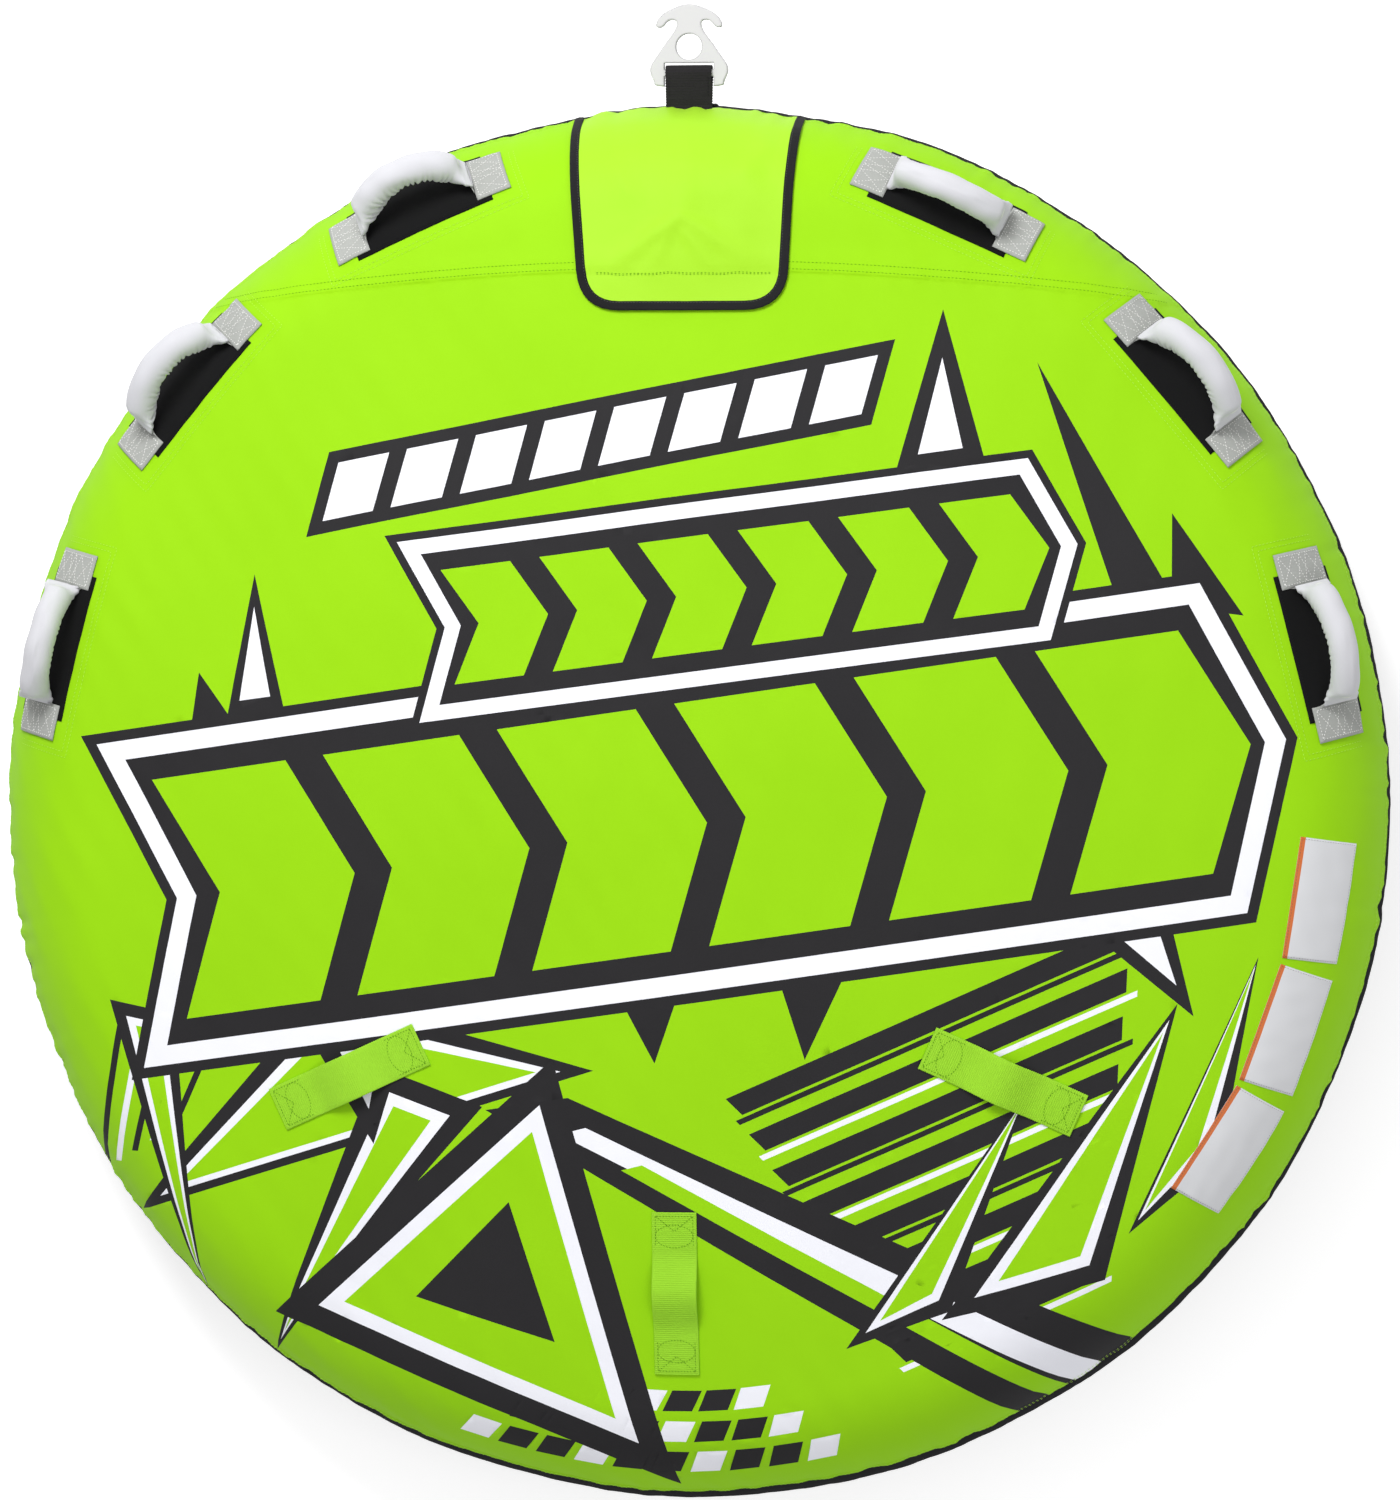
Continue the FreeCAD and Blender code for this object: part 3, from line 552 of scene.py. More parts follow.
def spikes():
    """Tall thin triangles standing round the bands."""
    for a, b, tip in (((505, 215), (580, 205), (408, 500)), ((250, 372), (352, 386), (302, 560)),
                      ((-516, 92), (-446, 102), (-484, 262)), ((560, 225), (640, 215), (560, 330)),
                      ((-560, 70), (-500, 84), (-548, 150)), ((-420, -262), (-300, -246), (-345, -385)),
                      ((120, -190), (200, -180), (150, -285)), ((-60, -215), (10, -205), (-20, -290)),
                      ((470, -140), (560, -130), (585, -235))):
        ink([a, b, tip], BLACK)
    for a, b, tip in (((276, 396), (326, 403), (302, 505)), ((-500, 118), (-464, 123), (-484, 225)),
                      ((-392, -262), (-330, -250), (-350, -345)), ((496, -140), (545, -134), (566, -200))):
        ink([a, b, tip], WHITE)


def shard(a, b, tip, rim=19):
    """A long triangle in green with a white line inside a black edge."""
    if area_of([a, b, tip]) < 0:
        a, b = b, a
    ink(grown([a, b, tip], rim), BLACK)
    ink(grown([a, b, tip], -0.2 * rim), WHITE)
    ink(grown([a, b, tip], -0.9 * rim), LIME)


def stripe_field(start, lean, length, count, pitch, step, shrink):
    """Parallel slanting stripes, every second gap white, their ends stepped."""
    c, s = math.cos(math.radians(lean)), math.sin(math.radians(lean))
    for number in range(count):
        x = start[0] + s * pitch * number + step * number
        y = start[1] - c * pitch * number
        reach = length - shrink * number
        for shift, thick, colour in ((0, 0.55, BLACK), (-0.62, 0.14, WHITE if number % 2 else BLACK)):
            top = shift * pitch
            low = top - thick * pitch
            corners = [(0, top), (reach, top), (reach - 0.5 * thick * pitch, low), (thick * pitch * 0.4, low)]
            ink([(x + u * c - v * s, y + u * s + v * c) for u, v in corners], colour)


def lower_left():
    """Shards that fan out below the large band on the left."""
    shard((-400, -235), (-120, -300), (-610, -455))
    shard((-330, -320), (-250, -350), (-470, -620))
    shard((-640, -240), (-590, -250), (-560, -560), 12)
    shard((-425, -575), (-150, -330), (-40, -735), 24)
    ink([(-300, -560), (-190, -450), (-140, -610)], BLACK)


def lower_right():
    """Stripes and rising shards below the large band on the right."""
    stripe_field((60, -330), 24, 500, 8, 44, 8, 34)
    ink([(-215, -345), (-120, -330), (560, -628), (400, -705)], BLACK)
    ink([(-130, -372), (-100, -364), (520, -656), (480, -674)], WHITE)
    ink([(-60, -412), (-36, -406), (450, -668), (425, -680)], LIME)
    shard((330, -560), (470, -520), (560, -235), 18)
    shard((520, -470), (600, -390), (655, -175), 14)
    shard((210, -600), (300, -560), (395, -330), 14)


def foot_blocks():
    """Rows of small leaning blocks near the rear edge."""
    for row, radius in enumerate((748, 712, 676)):
        for number in range(10 - row * 2):
            turn = math.radians(-108 + number * 3.4 + row * 4.1)
            spot = (radius * math.cos(turn), radius * math.sin(turn))
            colour = (WHITE, BLACK, BLACK)[(number * 2 + row) % 3]
            ink(bar(34, 24, 12), colour, spot, math.degrees(turn) + 90)


def side_bars():
    """Thin leaning bars at the left edge."""
    for number in range(5):
        ink(bar(8, 190 - 26 * number, 40), BLACK if number % 2 == 0 else WHITE, (-660 + 24 * number, -330))


side_bars()
foot_blocks()
lower_right()
lower_left()
spikes()
chevron_band((26, -20), 8.3, 1290, 330, 6, 62, (34, 22))
chevron_band((80, 246), 7.5, 720, 172, 6, 36, (26, 17))
upper_blocks()


# ---------------------------------------------------------------- the cover
def flat_point(s, turn):
    """A place on the cloth, laid out flat round the deck's middle."""
    return Vector((s * math.cos(turn), s * math.sin(turn)))


def unrolled(shape):
    """A plan outline laid out flat along the cloth, with points added along its sides."""
    dense = path(*shape, shape[0], spacing=14 * MM)[:-1]
    return [flat_point(s, turn) for s, turn in zip(*place_on(*np.transpose(dense)))]


def circle(radius, count, centre_y=0.0):
    """Points round a circle whose middle is on the Y axis."""
    return [Vector((radius * math.cos(t), centre_y + radius * math.sin(t)))
            for t in np.linspace(0, 2 * math.pi, count, endpoint=False)]


# The deck's mesh is even in the middle and finer from here outward, where the puckers are.
FINE_FROM = 0.655
DECK_STEP, EDGE_STEP, DECK_MARGIN = 0.010, 0.0064, 0.004


def deck_points():
    """Places for the deck's mesh, in rings and along the cross seam."""
    points = [Vector((0, 0))]
    middle_rings = np.arange(DECK_STEP, FINE_FROM, DECK_STEP)
    edge_rings = np.linspace(FINE_FROM + 0.005, S_SEAM - DECK_MARGIN, 36)
    for number, s in enumerate(np.concatenate([middle_rings, edge_rings])):
        count = int(2 * math.pi * s / (DECK_STEP if s < FINE_FROM else EDGE_STEP))
        for k in range(count):
            points.append(flat_point(s, 2 * math.pi * (k + 0.5 * (number % 2)) / count))
    for ahead in (-6, -3, -1, 0, 1, 2.2, 5, 9, 13, 18, 24):
        for x in np.arange(-0.56, 0.5605, 0.006):
            s, turn = place_on(x, nose_seam_y(x) + ahead * MM)
            if s < S_SEAM - DECK_MARGIN:
                points.append(flat_point(s, turn))
    return points


def make_deck():
    """The top of the cover as one sheet, its faces coloured by the last outline that holds them."""
    points = deck_points()
    outlines = []
    valve_hole = [tuple(p) for p in circle(VALVE_HOLE, 48, VALVE_Y)]
    for flat in [circle(S_SEAM, 1000)] + [unrolled(shape) for shape, _ in prints] + [unrolled(valve_hole)]:
        outlines.append(list(range(len(points), len(points) + len(flat))))
        points += flat
    colours = [LIME] + [colour for _, colour in prints] + [HOLE]
    made = delaunay_2d_cdt(points, [], outlines, 0, 1e-6, True)
    flat_points, triangles, sources = made[0], made[2], made[5]
    xs, ys = np.transpose(flat_points)
    s, turn = np.minimum(np.hypot(xs, ys), S_SEAM), np.arctan2(ys, xs)
    roll = 1.2 * MM * ramp(s, S_SEAM - 0.010, S_SEAM - 0.003) - 1.6 * MM * ramp(s, S_SEAM - 0.003, S_SEAM)
    where, _ = on_cloth(s, turn, roll, drift=True)
    faces, materials = [], []
    for triangle, source in zip(triangles, sources):
        if 0 in source and colours[max(source)] != HOLE:
            faces.append(tuple(triangle))
            materials.append(colours[max(source)])
    piece = add_piece("deck_cover", where, faces, [GREEN, PRINT_BLACK, PRINT_WHITE], "tube",
                      materials)
    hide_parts("cover_deck", "cover_nose")


def turned_skin(name, stops, lift, count, material):
    """A closed skin turned about Z through distances along the cloth."""
    turns = np.linspace(0, 2 * math.pi, count, endpoint=False)
    s, turn = np.meshgrid(stops, turns, indexing="ij")
    points, _ = on_cloth(s, turn, lift, drift=True)
    faces = grid_faces(len(stops), count, wrap=True)
    return add_piece(name, points.reshape(-1, 3), faces, [material], "tube")


def make_underside():
    """The black bottom of the cover, tucked under the deck's edge."""
    stops = np.concatenate([np.linspace(S_SEAM - 0.005, S_SEAM + 0.10, 26),
                            np.linspace(S_SEAM + 0.11, S_BELLY, 14),
                            np.linspace(S_BELLY + 0.02, S_FLOOR, 12),
                            np.linspace(S_FLOOR + 0.04, S_END - 1e-4, 9)])
    piece = turned_skin("underside_cover", stops, -0.5 * MM, 720, BLACK_CLOTH)
    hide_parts("cover_underside")
    return piece


def make_bladder():
    """The bladder inside the cover, and the tape behind the sewn edge."""
    stops = np.concatenate([np.linspace(0.001, S_DOME, 20), np.linspace(S_DOME + 0.01, S_BELLY, 34),
                            np.linspace(S_BELLY + 0.02, S_END - 1e-4, 16)])
    piece = turned_skin("bladder_skin", stops, -9 * MM, 220, PVC_BLACK)
    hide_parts("bladder")
    tape_stops = np.linspace(S_SEAM - 0.012, S_SEAM + 0.012, 5)
    tape = turned_skin("seam_tape_strip", tape_stops, -4 * MM, 360, BINDING)
    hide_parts("seam_tape")


def make_cover_threads():
    """Two rows round the deck's edge and two along the cross seam."""
    edge = Thread("cover_stitching", THREAD_LIME, "tube", "deck_fabric", 0.6 * MM)
    turns = np.linspace(0, 2 * math.pi, 1400)
    for back in (4.5 * MM, 9.5 * MM):
        edge.row(*on_cloth(np.full(1400, S_SEAM - back), turns, 0.9 * MM, drift=True), 5 * MM)
    edge.sew()
    cross = Thread("cross_seam_stitching", THREAD_GREEN, "tube", "deck_fabric")
    xs = np.linspace(-0.55, 0.55, 500)
    for ahead in (4 * MM, 12 * MM):
        s, turn = place_on(xs, nose_seam_y(xs) + ahead)
        keep = s < S_SEAM - 0.012
        cross.row(*on_cloth(s[keep], turn[keep]), 4.4 * MM)
    cross.sew()


# ---------------------------------------------------------------- handles
# The handle's arch from pad to pad: its chord, its rise and the radius they give.
BEND_CHORD = 0.136
BEND_RISE = 0.046
BEND = (BEND_CHORD ** 2 / 4 + BEND_RISE ** 2) / (2 * BEND_RISE)
SLEEVE_RADIUS = 0.0165
SLEEVE_HALF = math.radians(66)
PAD_START, PAD_LENGTH, PAD_WIDTH = 0.068, 0.041, 0.066
GUARD_LENGTH, GUARD_WIDTH = 0.170, 0.078
OUTLINE_HALF, OUTLINE_INWARD, OUTLINE_OUTWARD = 0.118, 0.049, 0.030


def over_edge(point, along, outward, normal, u, w, lift):
    """Cloth points u along and w outward from a point, w measured over the tube's rounded edge."""
    bent = w / EDGE_RADIUS
    spot = (point + u[..., None] * along + (EDGE_RADIUS * np.sin(bent))[..., None] * outward
            - (EDGE_RADIUS * (1 - np.cos(bent)))[..., None] * normal)
    return on_cloth(*nearest(spot), lift)


class HandlePlace:
    """One handle's directions, read from its joint and its packed sleeve."""

    def __init__(self, label):
        joint = JOINTS[label + "_swing"]
        self.label = label
        self.pivot = np.array(joint["pos_m"])
        self.along = unit(np.array(joint["axis"]))
        low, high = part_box(label + "_sleeve")
        rise = np.array((low + high) / 2) - self.pivot
        self.rise = unit(rise - self.along * (rise @ self.along))
        self.across = np.cross(self.along, self.rise)
        self.bend_centre = self.pivot - self.rise * (BEND - BEND_RISE)
        s, turn = nearest(self.pivot)
        points, normals = on_cloth(np.array([s]), np.array([turn]))
        self.point, self.normal = points[0], normals[0]
        self.outward = np.cross(self.along, self.normal)

    def on_deck(self, u, w, lift=0.0):
        """Cloth points u along the handle and w outward from its middle."""
        return over_edge(self.point, self.along, self.outward, self.normal, u, w, lift)

    def on_arch(self, angle, radius, around, flat=1.0):
        """Points round the bent bar: angle along it, around measured from its outer side."""
        outward = np.sin(angle)[..., None] * self.along + np.cos(angle)[..., None] * self.rise
        return (self.bend_centre + outward * (BEND + radius * np.cos(around))[..., None]
                + (radius * flat * np.sin(around))[..., None] * self.across)


def deck_slab(name, place, u_range, w_range, lift, thick, material, counts, corner=0.004):
    """A cloth patch lying on the cover, its edges rounded down."""
    us = np.linspace(*u_range, counts[0])
    ws = np.linspace(*w_range, counts[1])
    u, w = np.meshgrid(us, ws, indexing="ij")
    edge = np.minimum(np.minimum(u - us[0], us[-1] - u), np.minimum(w - ws[0], ws[-1] - w))
    swell = thick * (0.55 + 0.45 * ramp(edge, 0, corner))
    top, _ = place.on_deck(u, w, lift + swell)
    bottom, _ = place.on_deck(u, w, lift - 0.2 * MM)
    return slab(name, top, bottom, [material])


def pad_threads(thread, place, side):
    """A box with zigzag lines sewn through one webbing pad."""
    near, far = side * (PAD_START + 0.004), side * (PAD_START + PAD_LENGTH - 0.004)
    half = PAD_WIDTH / 2 - 0.004
    box = [(near, -half), (far, -half), (far, half), (near, half), (near, -half)]
    zigzag = [(near, -half), (far, -half / 3), (near, 0), (far, half / 3), (near, half)]
    other = [(far, -half), (near, -half / 3), (far, 0), (near, half / 3), (far, half)]
    for corners in (box, zigzag, other):
        spots = path(*corners, spacing=4 * MM)
        thread.row(*place.on_deck(*np.transpose(spots), 3.5 * MM), 3.6 * MM)


def rest_on_cover(points, clearance):
    """Push points up until they clear the cover."""
    s, turn = nearest(points)
    base, normal = on_cloth(s, turn, clearance)
    short = np.maximum(0, -np.sum((points - base) * normal, -1))
    return points + normal * short[..., None]


def seated(place, angle, radius, around):
    """Points on the sleeve, its ends widened and turned to meet the pads squarely."""
    widen = 0.32 * ramp(np.abs(angle), math.radians(46), SLEEVE_HALF)
    points = place.on_arch(angle, radius, around, 1 + widen)
    reach = np.abs((points - place.pivot) @ place.along)
    square = PAD_START + 1.5 * MM - (SLEEVE_HALF - np.abs(angle)) * BEND * 0.9
    slide = (square - reach) * ramp(np.abs(angle), math.radians(44), SLEEVE_HALF) * np.sign(angle)
    return points + slide[..., None] * place.along


def make_sleeve(place, seed):
    """A cloth tube over the bar: smooth outside, its seam gathered along the inner side."""
    angles = np.linspace(-SLEEVE_HALF, SLEEVE_HALF, 170)
    arounds = np.linspace(0, 2 * math.pi, 56, endpoint=False)
    angle, around = np.meshgrid(angles, arounds, indexing="ij")
    along = angle * BEND
    inner = np.exp(-((around - math.pi) / 0.95) ** 2)
    drift = waves(along, around * 0.01, 0.02, seed + 1)
    beat = along * 2 * math.pi / 0.0082 + 1.4 * drift
    gathers = (1.6 * np.abs(np.sin(beat / 2)) - 0.9) * (1.0 + 0.4 * waves(along, 0 * along, 0.03, seed))
    seam = np.exp(-((around - math.pi - 0.10 * np.sin(beat)) / 0.10) ** 2)
    folds = waves(along, around * SLEEVE_RADIUS, 0.035, seed + 2)
    end = (SLEEVE_HALF - np.abs(angle)) * BEND
    radius = SLEEVE_RADIUS * (1 + 0.03 * np.cos(2 * around)) + 3.1 * MM * inner * gathers
    radius += 1.6 * MM * seam + 0.55 * MM * folds
    # The hem: pulled in at its mouth, with a ridge 7 mm from it.
    radius += 0.6 * MM * np.exp(-((end - 7 * MM) / (1.4 * MM)) ** 2) - 0.6 * MM * (1 - ramp(end, 0, 3 * MM))
    rings = [seated(place, angle, radius, around)]
    for shrink, depth in ((0.86, 0.0), (0.78, 0.05)):
        rings.insert(0, seated(place, angle[:1] * (1 - depth), radius[:1] * shrink, around[:1]))
        rings.append(seated(place, angle[-1:] * (1 - depth), radius[-1:] * shrink, around[-1:]))
    stack = rest_on_cover(np.concatenate(rings), 1.7 * MM)
    faces = grid_faces(stack.shape[0], stack.shape[1], wrap=True)
    piece = add_piece(place.label + "_grip", stack.reshape(-1, 3), faces, [SLEEVE_WHITE], None)
    swing_with_handle(piece)
    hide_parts(place.label + "_sleeve")


def swing_with_handle(piece):
    """Bake the piece's placement into its mesh."""
    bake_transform(piece)


def make_foam(place):
    """The foam bar inside the sleeve."""
    half = math.radians(51)
    angle, around = np.meshgrid(np.linspace(-half, half, 40),
                                np.linspace(0, 2 * math.pi, 20, endpoint=False), indexing="ij")
    rings = place.on_arch(angle, 0.0125 + 0 * angle, around)
    piece = rod(place.label + "_foam_core", rings, FOAM, place.label)
    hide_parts(place.label + "_foam")


def make_webbing(place):
    """The strip that leaves each pad flat, gathers and runs through the sleeve."""
    half_sweep = math.asin(BEND_CHORD / 2 / BEND)
    stops = np.linspace(-1, 1, 61)[:, None]
    spread = ramp(np.abs(stops), 0.93, 1.0)
    radial = np.sin(stops * half_sweep) * place.along + np.cos(stops * half_sweep) * place.rise
    sunk = 3.6 * MM * ramp(np.abs(stops), 0.86, 1.0)
    centres = place.bend_centre + radial * BEND - place.normal * sunk
    sides = place.across * (1 - spread) + place.outward * spread
    turned = (sides @ place.outward < 0)[:, None] & (spread < 1)
    sides = unit(np.where(turned, place.across * (1 - spread) - place.outward * spread, sides))
    ups = unit(radial * (1 - spread) + place.normal * spread)
    spread = spread[:, 0]
    piece = swept(place.label + "_strip", centres, sides, ups, (9 + 17 * spread) * MM,
                  (4.5 - 3.0 * spread) * MM, GREY_WEBBING, None, 0.6, 20)
    swing_with_handle(piece)
    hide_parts(place.label + "_webbing")


def make_handle(label, seed):
    """One carrying handle with its guard, pads, strip, foam, sleeve and stitches."""
    place = HandlePlace(label)
    guard = deck_slab(label + "_knuckle_guard", place, (-GUARD_LENGTH / 2, GUARD_LENGTH / 2),
                      (-GUARD_WIDTH / 2, GUARD_WIDTH / 2), 0.2 * MM, 1.2 * MM, GUARD_BLACK,
                      (40, 24))
    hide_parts(label + "_guard")
    threads = Thread(label + "_pad_stitching", THREAD_WHITE, "tube", "handle_webbing", 1.15 * MM)
    for side, end in ((-1, "_pad_a"), (1, "_pad_b")):
        span = sorted((side * PAD_START, side * (PAD_START + PAD_LENGTH)))
        pad = deck_slab(label + end, place, span, (-PAD_WIDTH / 2, PAD_WIDTH / 2), 1.4 * MM, 2.0 * MM,
                        GREY_WEBBING, (20, 26), 0.0015)
        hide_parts(label + "_pads")
        pad_threads(threads, place, side)
    threads.sew()
    make_webbing(place)
    make_foam(place)
    make_sleeve(place, seed)
    outline = Thread(label + "_outline_stitching", THREAD_LIME, "tube", "deck_fabric", 0.8 * MM)
    for out in (0, 6 * MM):
        u, w = OUTLINE_HALF + out, -OUTLINE_INWARD - out
        spots = path((-u, OUTLINE_OUTWARD), (-u, w), (u, w), (u, OUTLINE_OUTWARD), spacing=6 * MM)
        outline.row(*place.on_deck(*np.transpose(spots), 0.2 * MM), 4.6 * MM)
    outline.sew()
    edge = Thread(label + "_guard_stitching", THREAD_BLACK, "tube", "guard_neoprene", 0.8 * MM)
    u, w = GUARD_LENGTH / 2 - 7 * MM, 3.5 * MM - GUARD_WIDTH / 2
    spots = path((-u, w), (u, w), spacing=6 * MM)
    edge.row(*place.on_deck(*np.transpose(spots), 1.6 * MM), 3.6 * MM)
    edge.sew()


# ---------------------------------------------------------------- boarding straps
STRAP_LENGTH, STRAP_WIDTH, STRAP_END, STRAP_RISE = 0.186, 0.051, 0.046, 0.012
STRAP_RIB = 2 * math.pi / 0.0024


def webbing_columns(half):
    """Places across a webbing strip, close together at its two selvedges."""
    return np.concatenate([[-half], np.linspace(-half + 1 * MM, half - 1 * MM, 13), [half]])


def make_boarding_strap(label, radius, azimuth, heading):
    """Ribbed webbing, sewn flat at both ends and bowed between them."""
    turn = math.radians(azimuth)
    centre = np.array([radius * math.cos(turn), radius * math.sin(turn)])
    ahead = np.array([math.cos(math.radians(heading)), math.sin(math.radians(heading))])

    def on_strap(u, w, lift):
        return on_cloth(*place_on(centre[0] + u * ahead[0] - w * ahead[1],
                                  centre[1] + u * ahead[1] + w * ahead[0]), lift)

    def bow(u):
        flat = STRAP_LENGTH / 2 - STRAP_END
        return STRAP_RISE * (0.5 + 0.5 * np.cos(math.pi * np.minimum(np.abs(u), flat) / flat))

    half = STRAP_WIDTH / 2
    us = np.linspace(-STRAP_LENGTH / 2, STRAP_LENGTH / 2, 312)
    u, w = np.meshgrid(us, webbing_columns(half), indexing="ij")
    w = w + 0.25 * MM * np.sin(u * STRAP_RIB) * (np.abs(w) > half - 0.5 * MM)
    selvedge = ramp(half - np.abs(w), 0, 2 * MM)
    ribs = 0.28 * MM * np.sin(u * STRAP_RIB) * (0.4 + 0.6 * selvedge)
    thick = 1.9 * MM * (0.7 + 0.3 * selvedge)
    top, _ = on_strap(u, w, 0.5 * MM + bow(u) + thick + ribs)
    bottom, _ = on_strap(u, w, 0.4 * MM + bow(u))
    piece = slab(label + "_webbing", top, bottom, [GREEN_WEBBING])
    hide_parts(label)
    thread = Thread(label + "_stitching", THREAD_GREEN_DARK, "tube", "strap_webbing", 0.8 * MM)
    wide = half - 4 * MM
    for end in (-1, 1):
        far = end * (STRAP_LENGTH / 2 - 4 * MM)
        near = end * (STRAP_LENGTH / 2 - STRAP_END + 8 * MM)
        middle = (near + far) / 2
        frame_row = path((near, -wide), (far, -wide), (far, wide), (near, wide), spacing=4 * MM)
        point_row = path((far, -wide), (middle, 0), (far, wide), spacing=4 * MM)
        oval = [(middle - end * 6 * MM + 13 * MM * math.cos(t), wide * math.sin(t))
                for t in np.linspace(0, 2 * math.pi, 40)]
        for spots in (frame_row, point_row, oval):
            u, w = np.transpose(spots)
            thread.row(*on_strap(u, w, 2.7 * MM + bow(u)), 3.4 * MM)
    thread.sew()


# ---------------------------------------------------------------- blank patches
PATCH_HALF_LENGTH, PATCH_HALF_WIDTH, PATCH_FROM_MIDDLE = 0.069, 0.037, 0.735
PATCH_AZIMUTH, PATCH_STEP = math.radians(-8.3), math.radians(-11.8)
PATCH_COLOURED = 6 * MM


def make_patch(number):
    """A blank sewn patch near the rear right edge, with one coloured long side."""
    turn = PATCH_AZIMUTH + (number - 1) * PATCH_STEP
    s, _ = place_on(PATCH_FROM_MIDDLE, 0)
    points, normals = on_cloth(np.array([float(s)]), np.array([turn]))
    along = np.array([-math.sin(turn), math.cos(turn), 0])
    outward = np.cross(along, normals[0])

    def lay(u, w, lift):
        return over_edge(points[0], along, outward, normals[0], u, w, lift)

    us = np.linspace(-PATCH_HALF_LENGTH, PATCH_HALF_LENGTH, 36)
    edge = PATCH_HALF_WIDTH - 0.5 * MM
    ws = np.concatenate([[-PATCH_HALF_WIDTH, -edge],
                         np.linspace(PATCH_COLOURED - PATCH_HALF_WIDTH, edge, 16), [PATCH_HALF_WIDTH]])
    u, w = np.meshgrid(us, ws, indexing="ij")
    top, _ = lay(u, w, 0.75 * MM + 0.25 * MM * waves(u, w, 0.03, 60 + number))
    bottom, _ = lay(u, w, 0.05 * MM)
    strips = [int(j < 2) for _ in us[1:] for j in range(len(ws) - 1)]
    piece = slab("patch_%d_vinyl" % number, top, bottom, [PATCH_WHITE, PATCH_ORANGE],
                 strips=strips)
    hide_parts("blank_patch_%d" % number)
    thread = Thread("patch_%d_stitching" % number, THREAD_DARK, "tube", "patch_vinyl", 0.5 * MM)
    u, w = PATCH_HALF_LENGTH - 2 * MM, PATCH_HALF_WIDTH - 2 * MM
    spots = path((-u, -w), (u, -w), (u, w), (-u, w), (-u, -w), spacing=5 * MM)
    thread.row(*lay(*np.transpose(spots), 0.9 * MM), 3.4 * MM)
    thread.sew()


# ---------------------------------------------------------------- flap
FLAP_TOP_HALF, FLAP_FOOT_HALF, FLAP_CORNER, FLAP_SKEW = 0.134, 0.118, 0.050, 0.008
FLAP_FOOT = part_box("flap_binding")[0].y
BINDING_WIDTH = 0.011
FLAP_S_TOP = S_SEAM + 3 * MM
FLAP_ROOT = 0.797


def flap_outline(inset):
    """The flap's plan outline from its top left corner, round both lower corners, to top right."""
    foot = FLAP_FOOT + inset
    corners = [np.array([inset - FLAP_TOP_HALF, FLAP_ROOT]),
               np.array([FLAP_SKEW - FLAP_FOOT_HALF + inset, foot]),
               np.array([FLAP_SKEW + FLAP_FOOT_HALF - inset, foot]),
               np.array([FLAP_TOP_HALF - inset, FLAP_ROOT])]
    points = [corners[0]]
    for before, corner, after in zip(corners, corners[1:], corners[2:]):
        come = (corner - before) / np.linalg.norm(corner - before)
        go = (after - corner) / np.linalg.norm(after - corner)
        back = (FLAP_CORNER - inset) * math.tan(math.acos(come @ go) / 2)
        start, end = corner - come * back, corner + go * back
        for t in np.linspace(0, 1, 9):
            points.append((1 - t) ** 2 * start + 2 * t * (1 - t) * corner + t * t * end)
    return [tuple(p) for p in points + [corners[3]]]


# Soft creases in the flap: from, to, strength and breadth in metres.
CREASE_HEIGHT = 2.8
FLAP_CREASES = [
    ((0.004, 0.664), (-0.074, 0.612), 2.2, 0.012), ((0.004, 0.664), (0.078, 0.620), 2.0, 0.013),
    ((0.010, 0.650), (0.040, 0.606), 1.4, 0.010), ((-0.010, 0.648), (-0.030, 0.606), 1.3, 0.009),
    ((0.004, 0.668), (0.012, 0.735), 1.5, 0.020), ((-0.096, 0.735), (-0.050, 0.690), 0.9, 0.010),
    ((0.100, 0.740), (0.060, 0.700), 0.8, 0.011), ((-0.080, 0.590), (-0.045, 0.580), 0.6, 0.008),
]


def crease(x, y, start, end, breadth):
    """1 at the start of a line and 0.3 at its end, fading out to both sides and past its ends."""
    run = np.subtract(end, start)
    along = np.clip(((x - start[0]) * run[0] + (y - start[1]) * run[1]) / (run @ run), 0, 1)
    away = np.hypot(x - start[0] - along * run[0], y - start[1] - along * run[1])
    return np.exp(-(away / breadth) ** 2) * (1 - 0.7 * along)


def flap_lift(x, y):
    """How far the flap's cloth stands off the deck."""
    inside = ramp(FLAP_FOOT_HALF - 0.010 - np.abs(x - FLAP_SKEW), 0, 0.04)
    inside = inside * ramp(y - FLAP_FOOT - 0.010, 0, 0.05) * ramp(0.785 - y, 0, 0.05)
    valve = np.exp(-((x - 0.004) / 0.055) ** 2 - ((y - VALVE_Y) / 0.045) ** 2)
    folds = np.maximum.reduce([height * crease(x, y, start, end, breadth)
                               for start, end, height, breadth in FLAP_CREASES])
    soft = waves(x, y, 0.06, 22) * 0.35 + waves(x, y, 0.025, 23) * 0.12
    sewn = 1 - 0.75 * ramp(np.hypot(x, y), 0.772, 0.792)
    return (3.4 * sewn + inside * (1.0 + CREASE_HEIGHT * folds + soft + 2.2 * valve)) * MM


def on_flap(xs, ys, lift=0.0):
    """Points on the flap over plan points, none past its sewn root."""
    s, turn = place_on(xs, ys)
    return on_cloth(np.minimum(s, FLAP_S_TOP), turn, flap_lift(xs, ys) + lift)


def bend_at_flap_hinge(piece):
    """Bake the placement of a piece of the flap into its mesh."""
    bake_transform(piece)


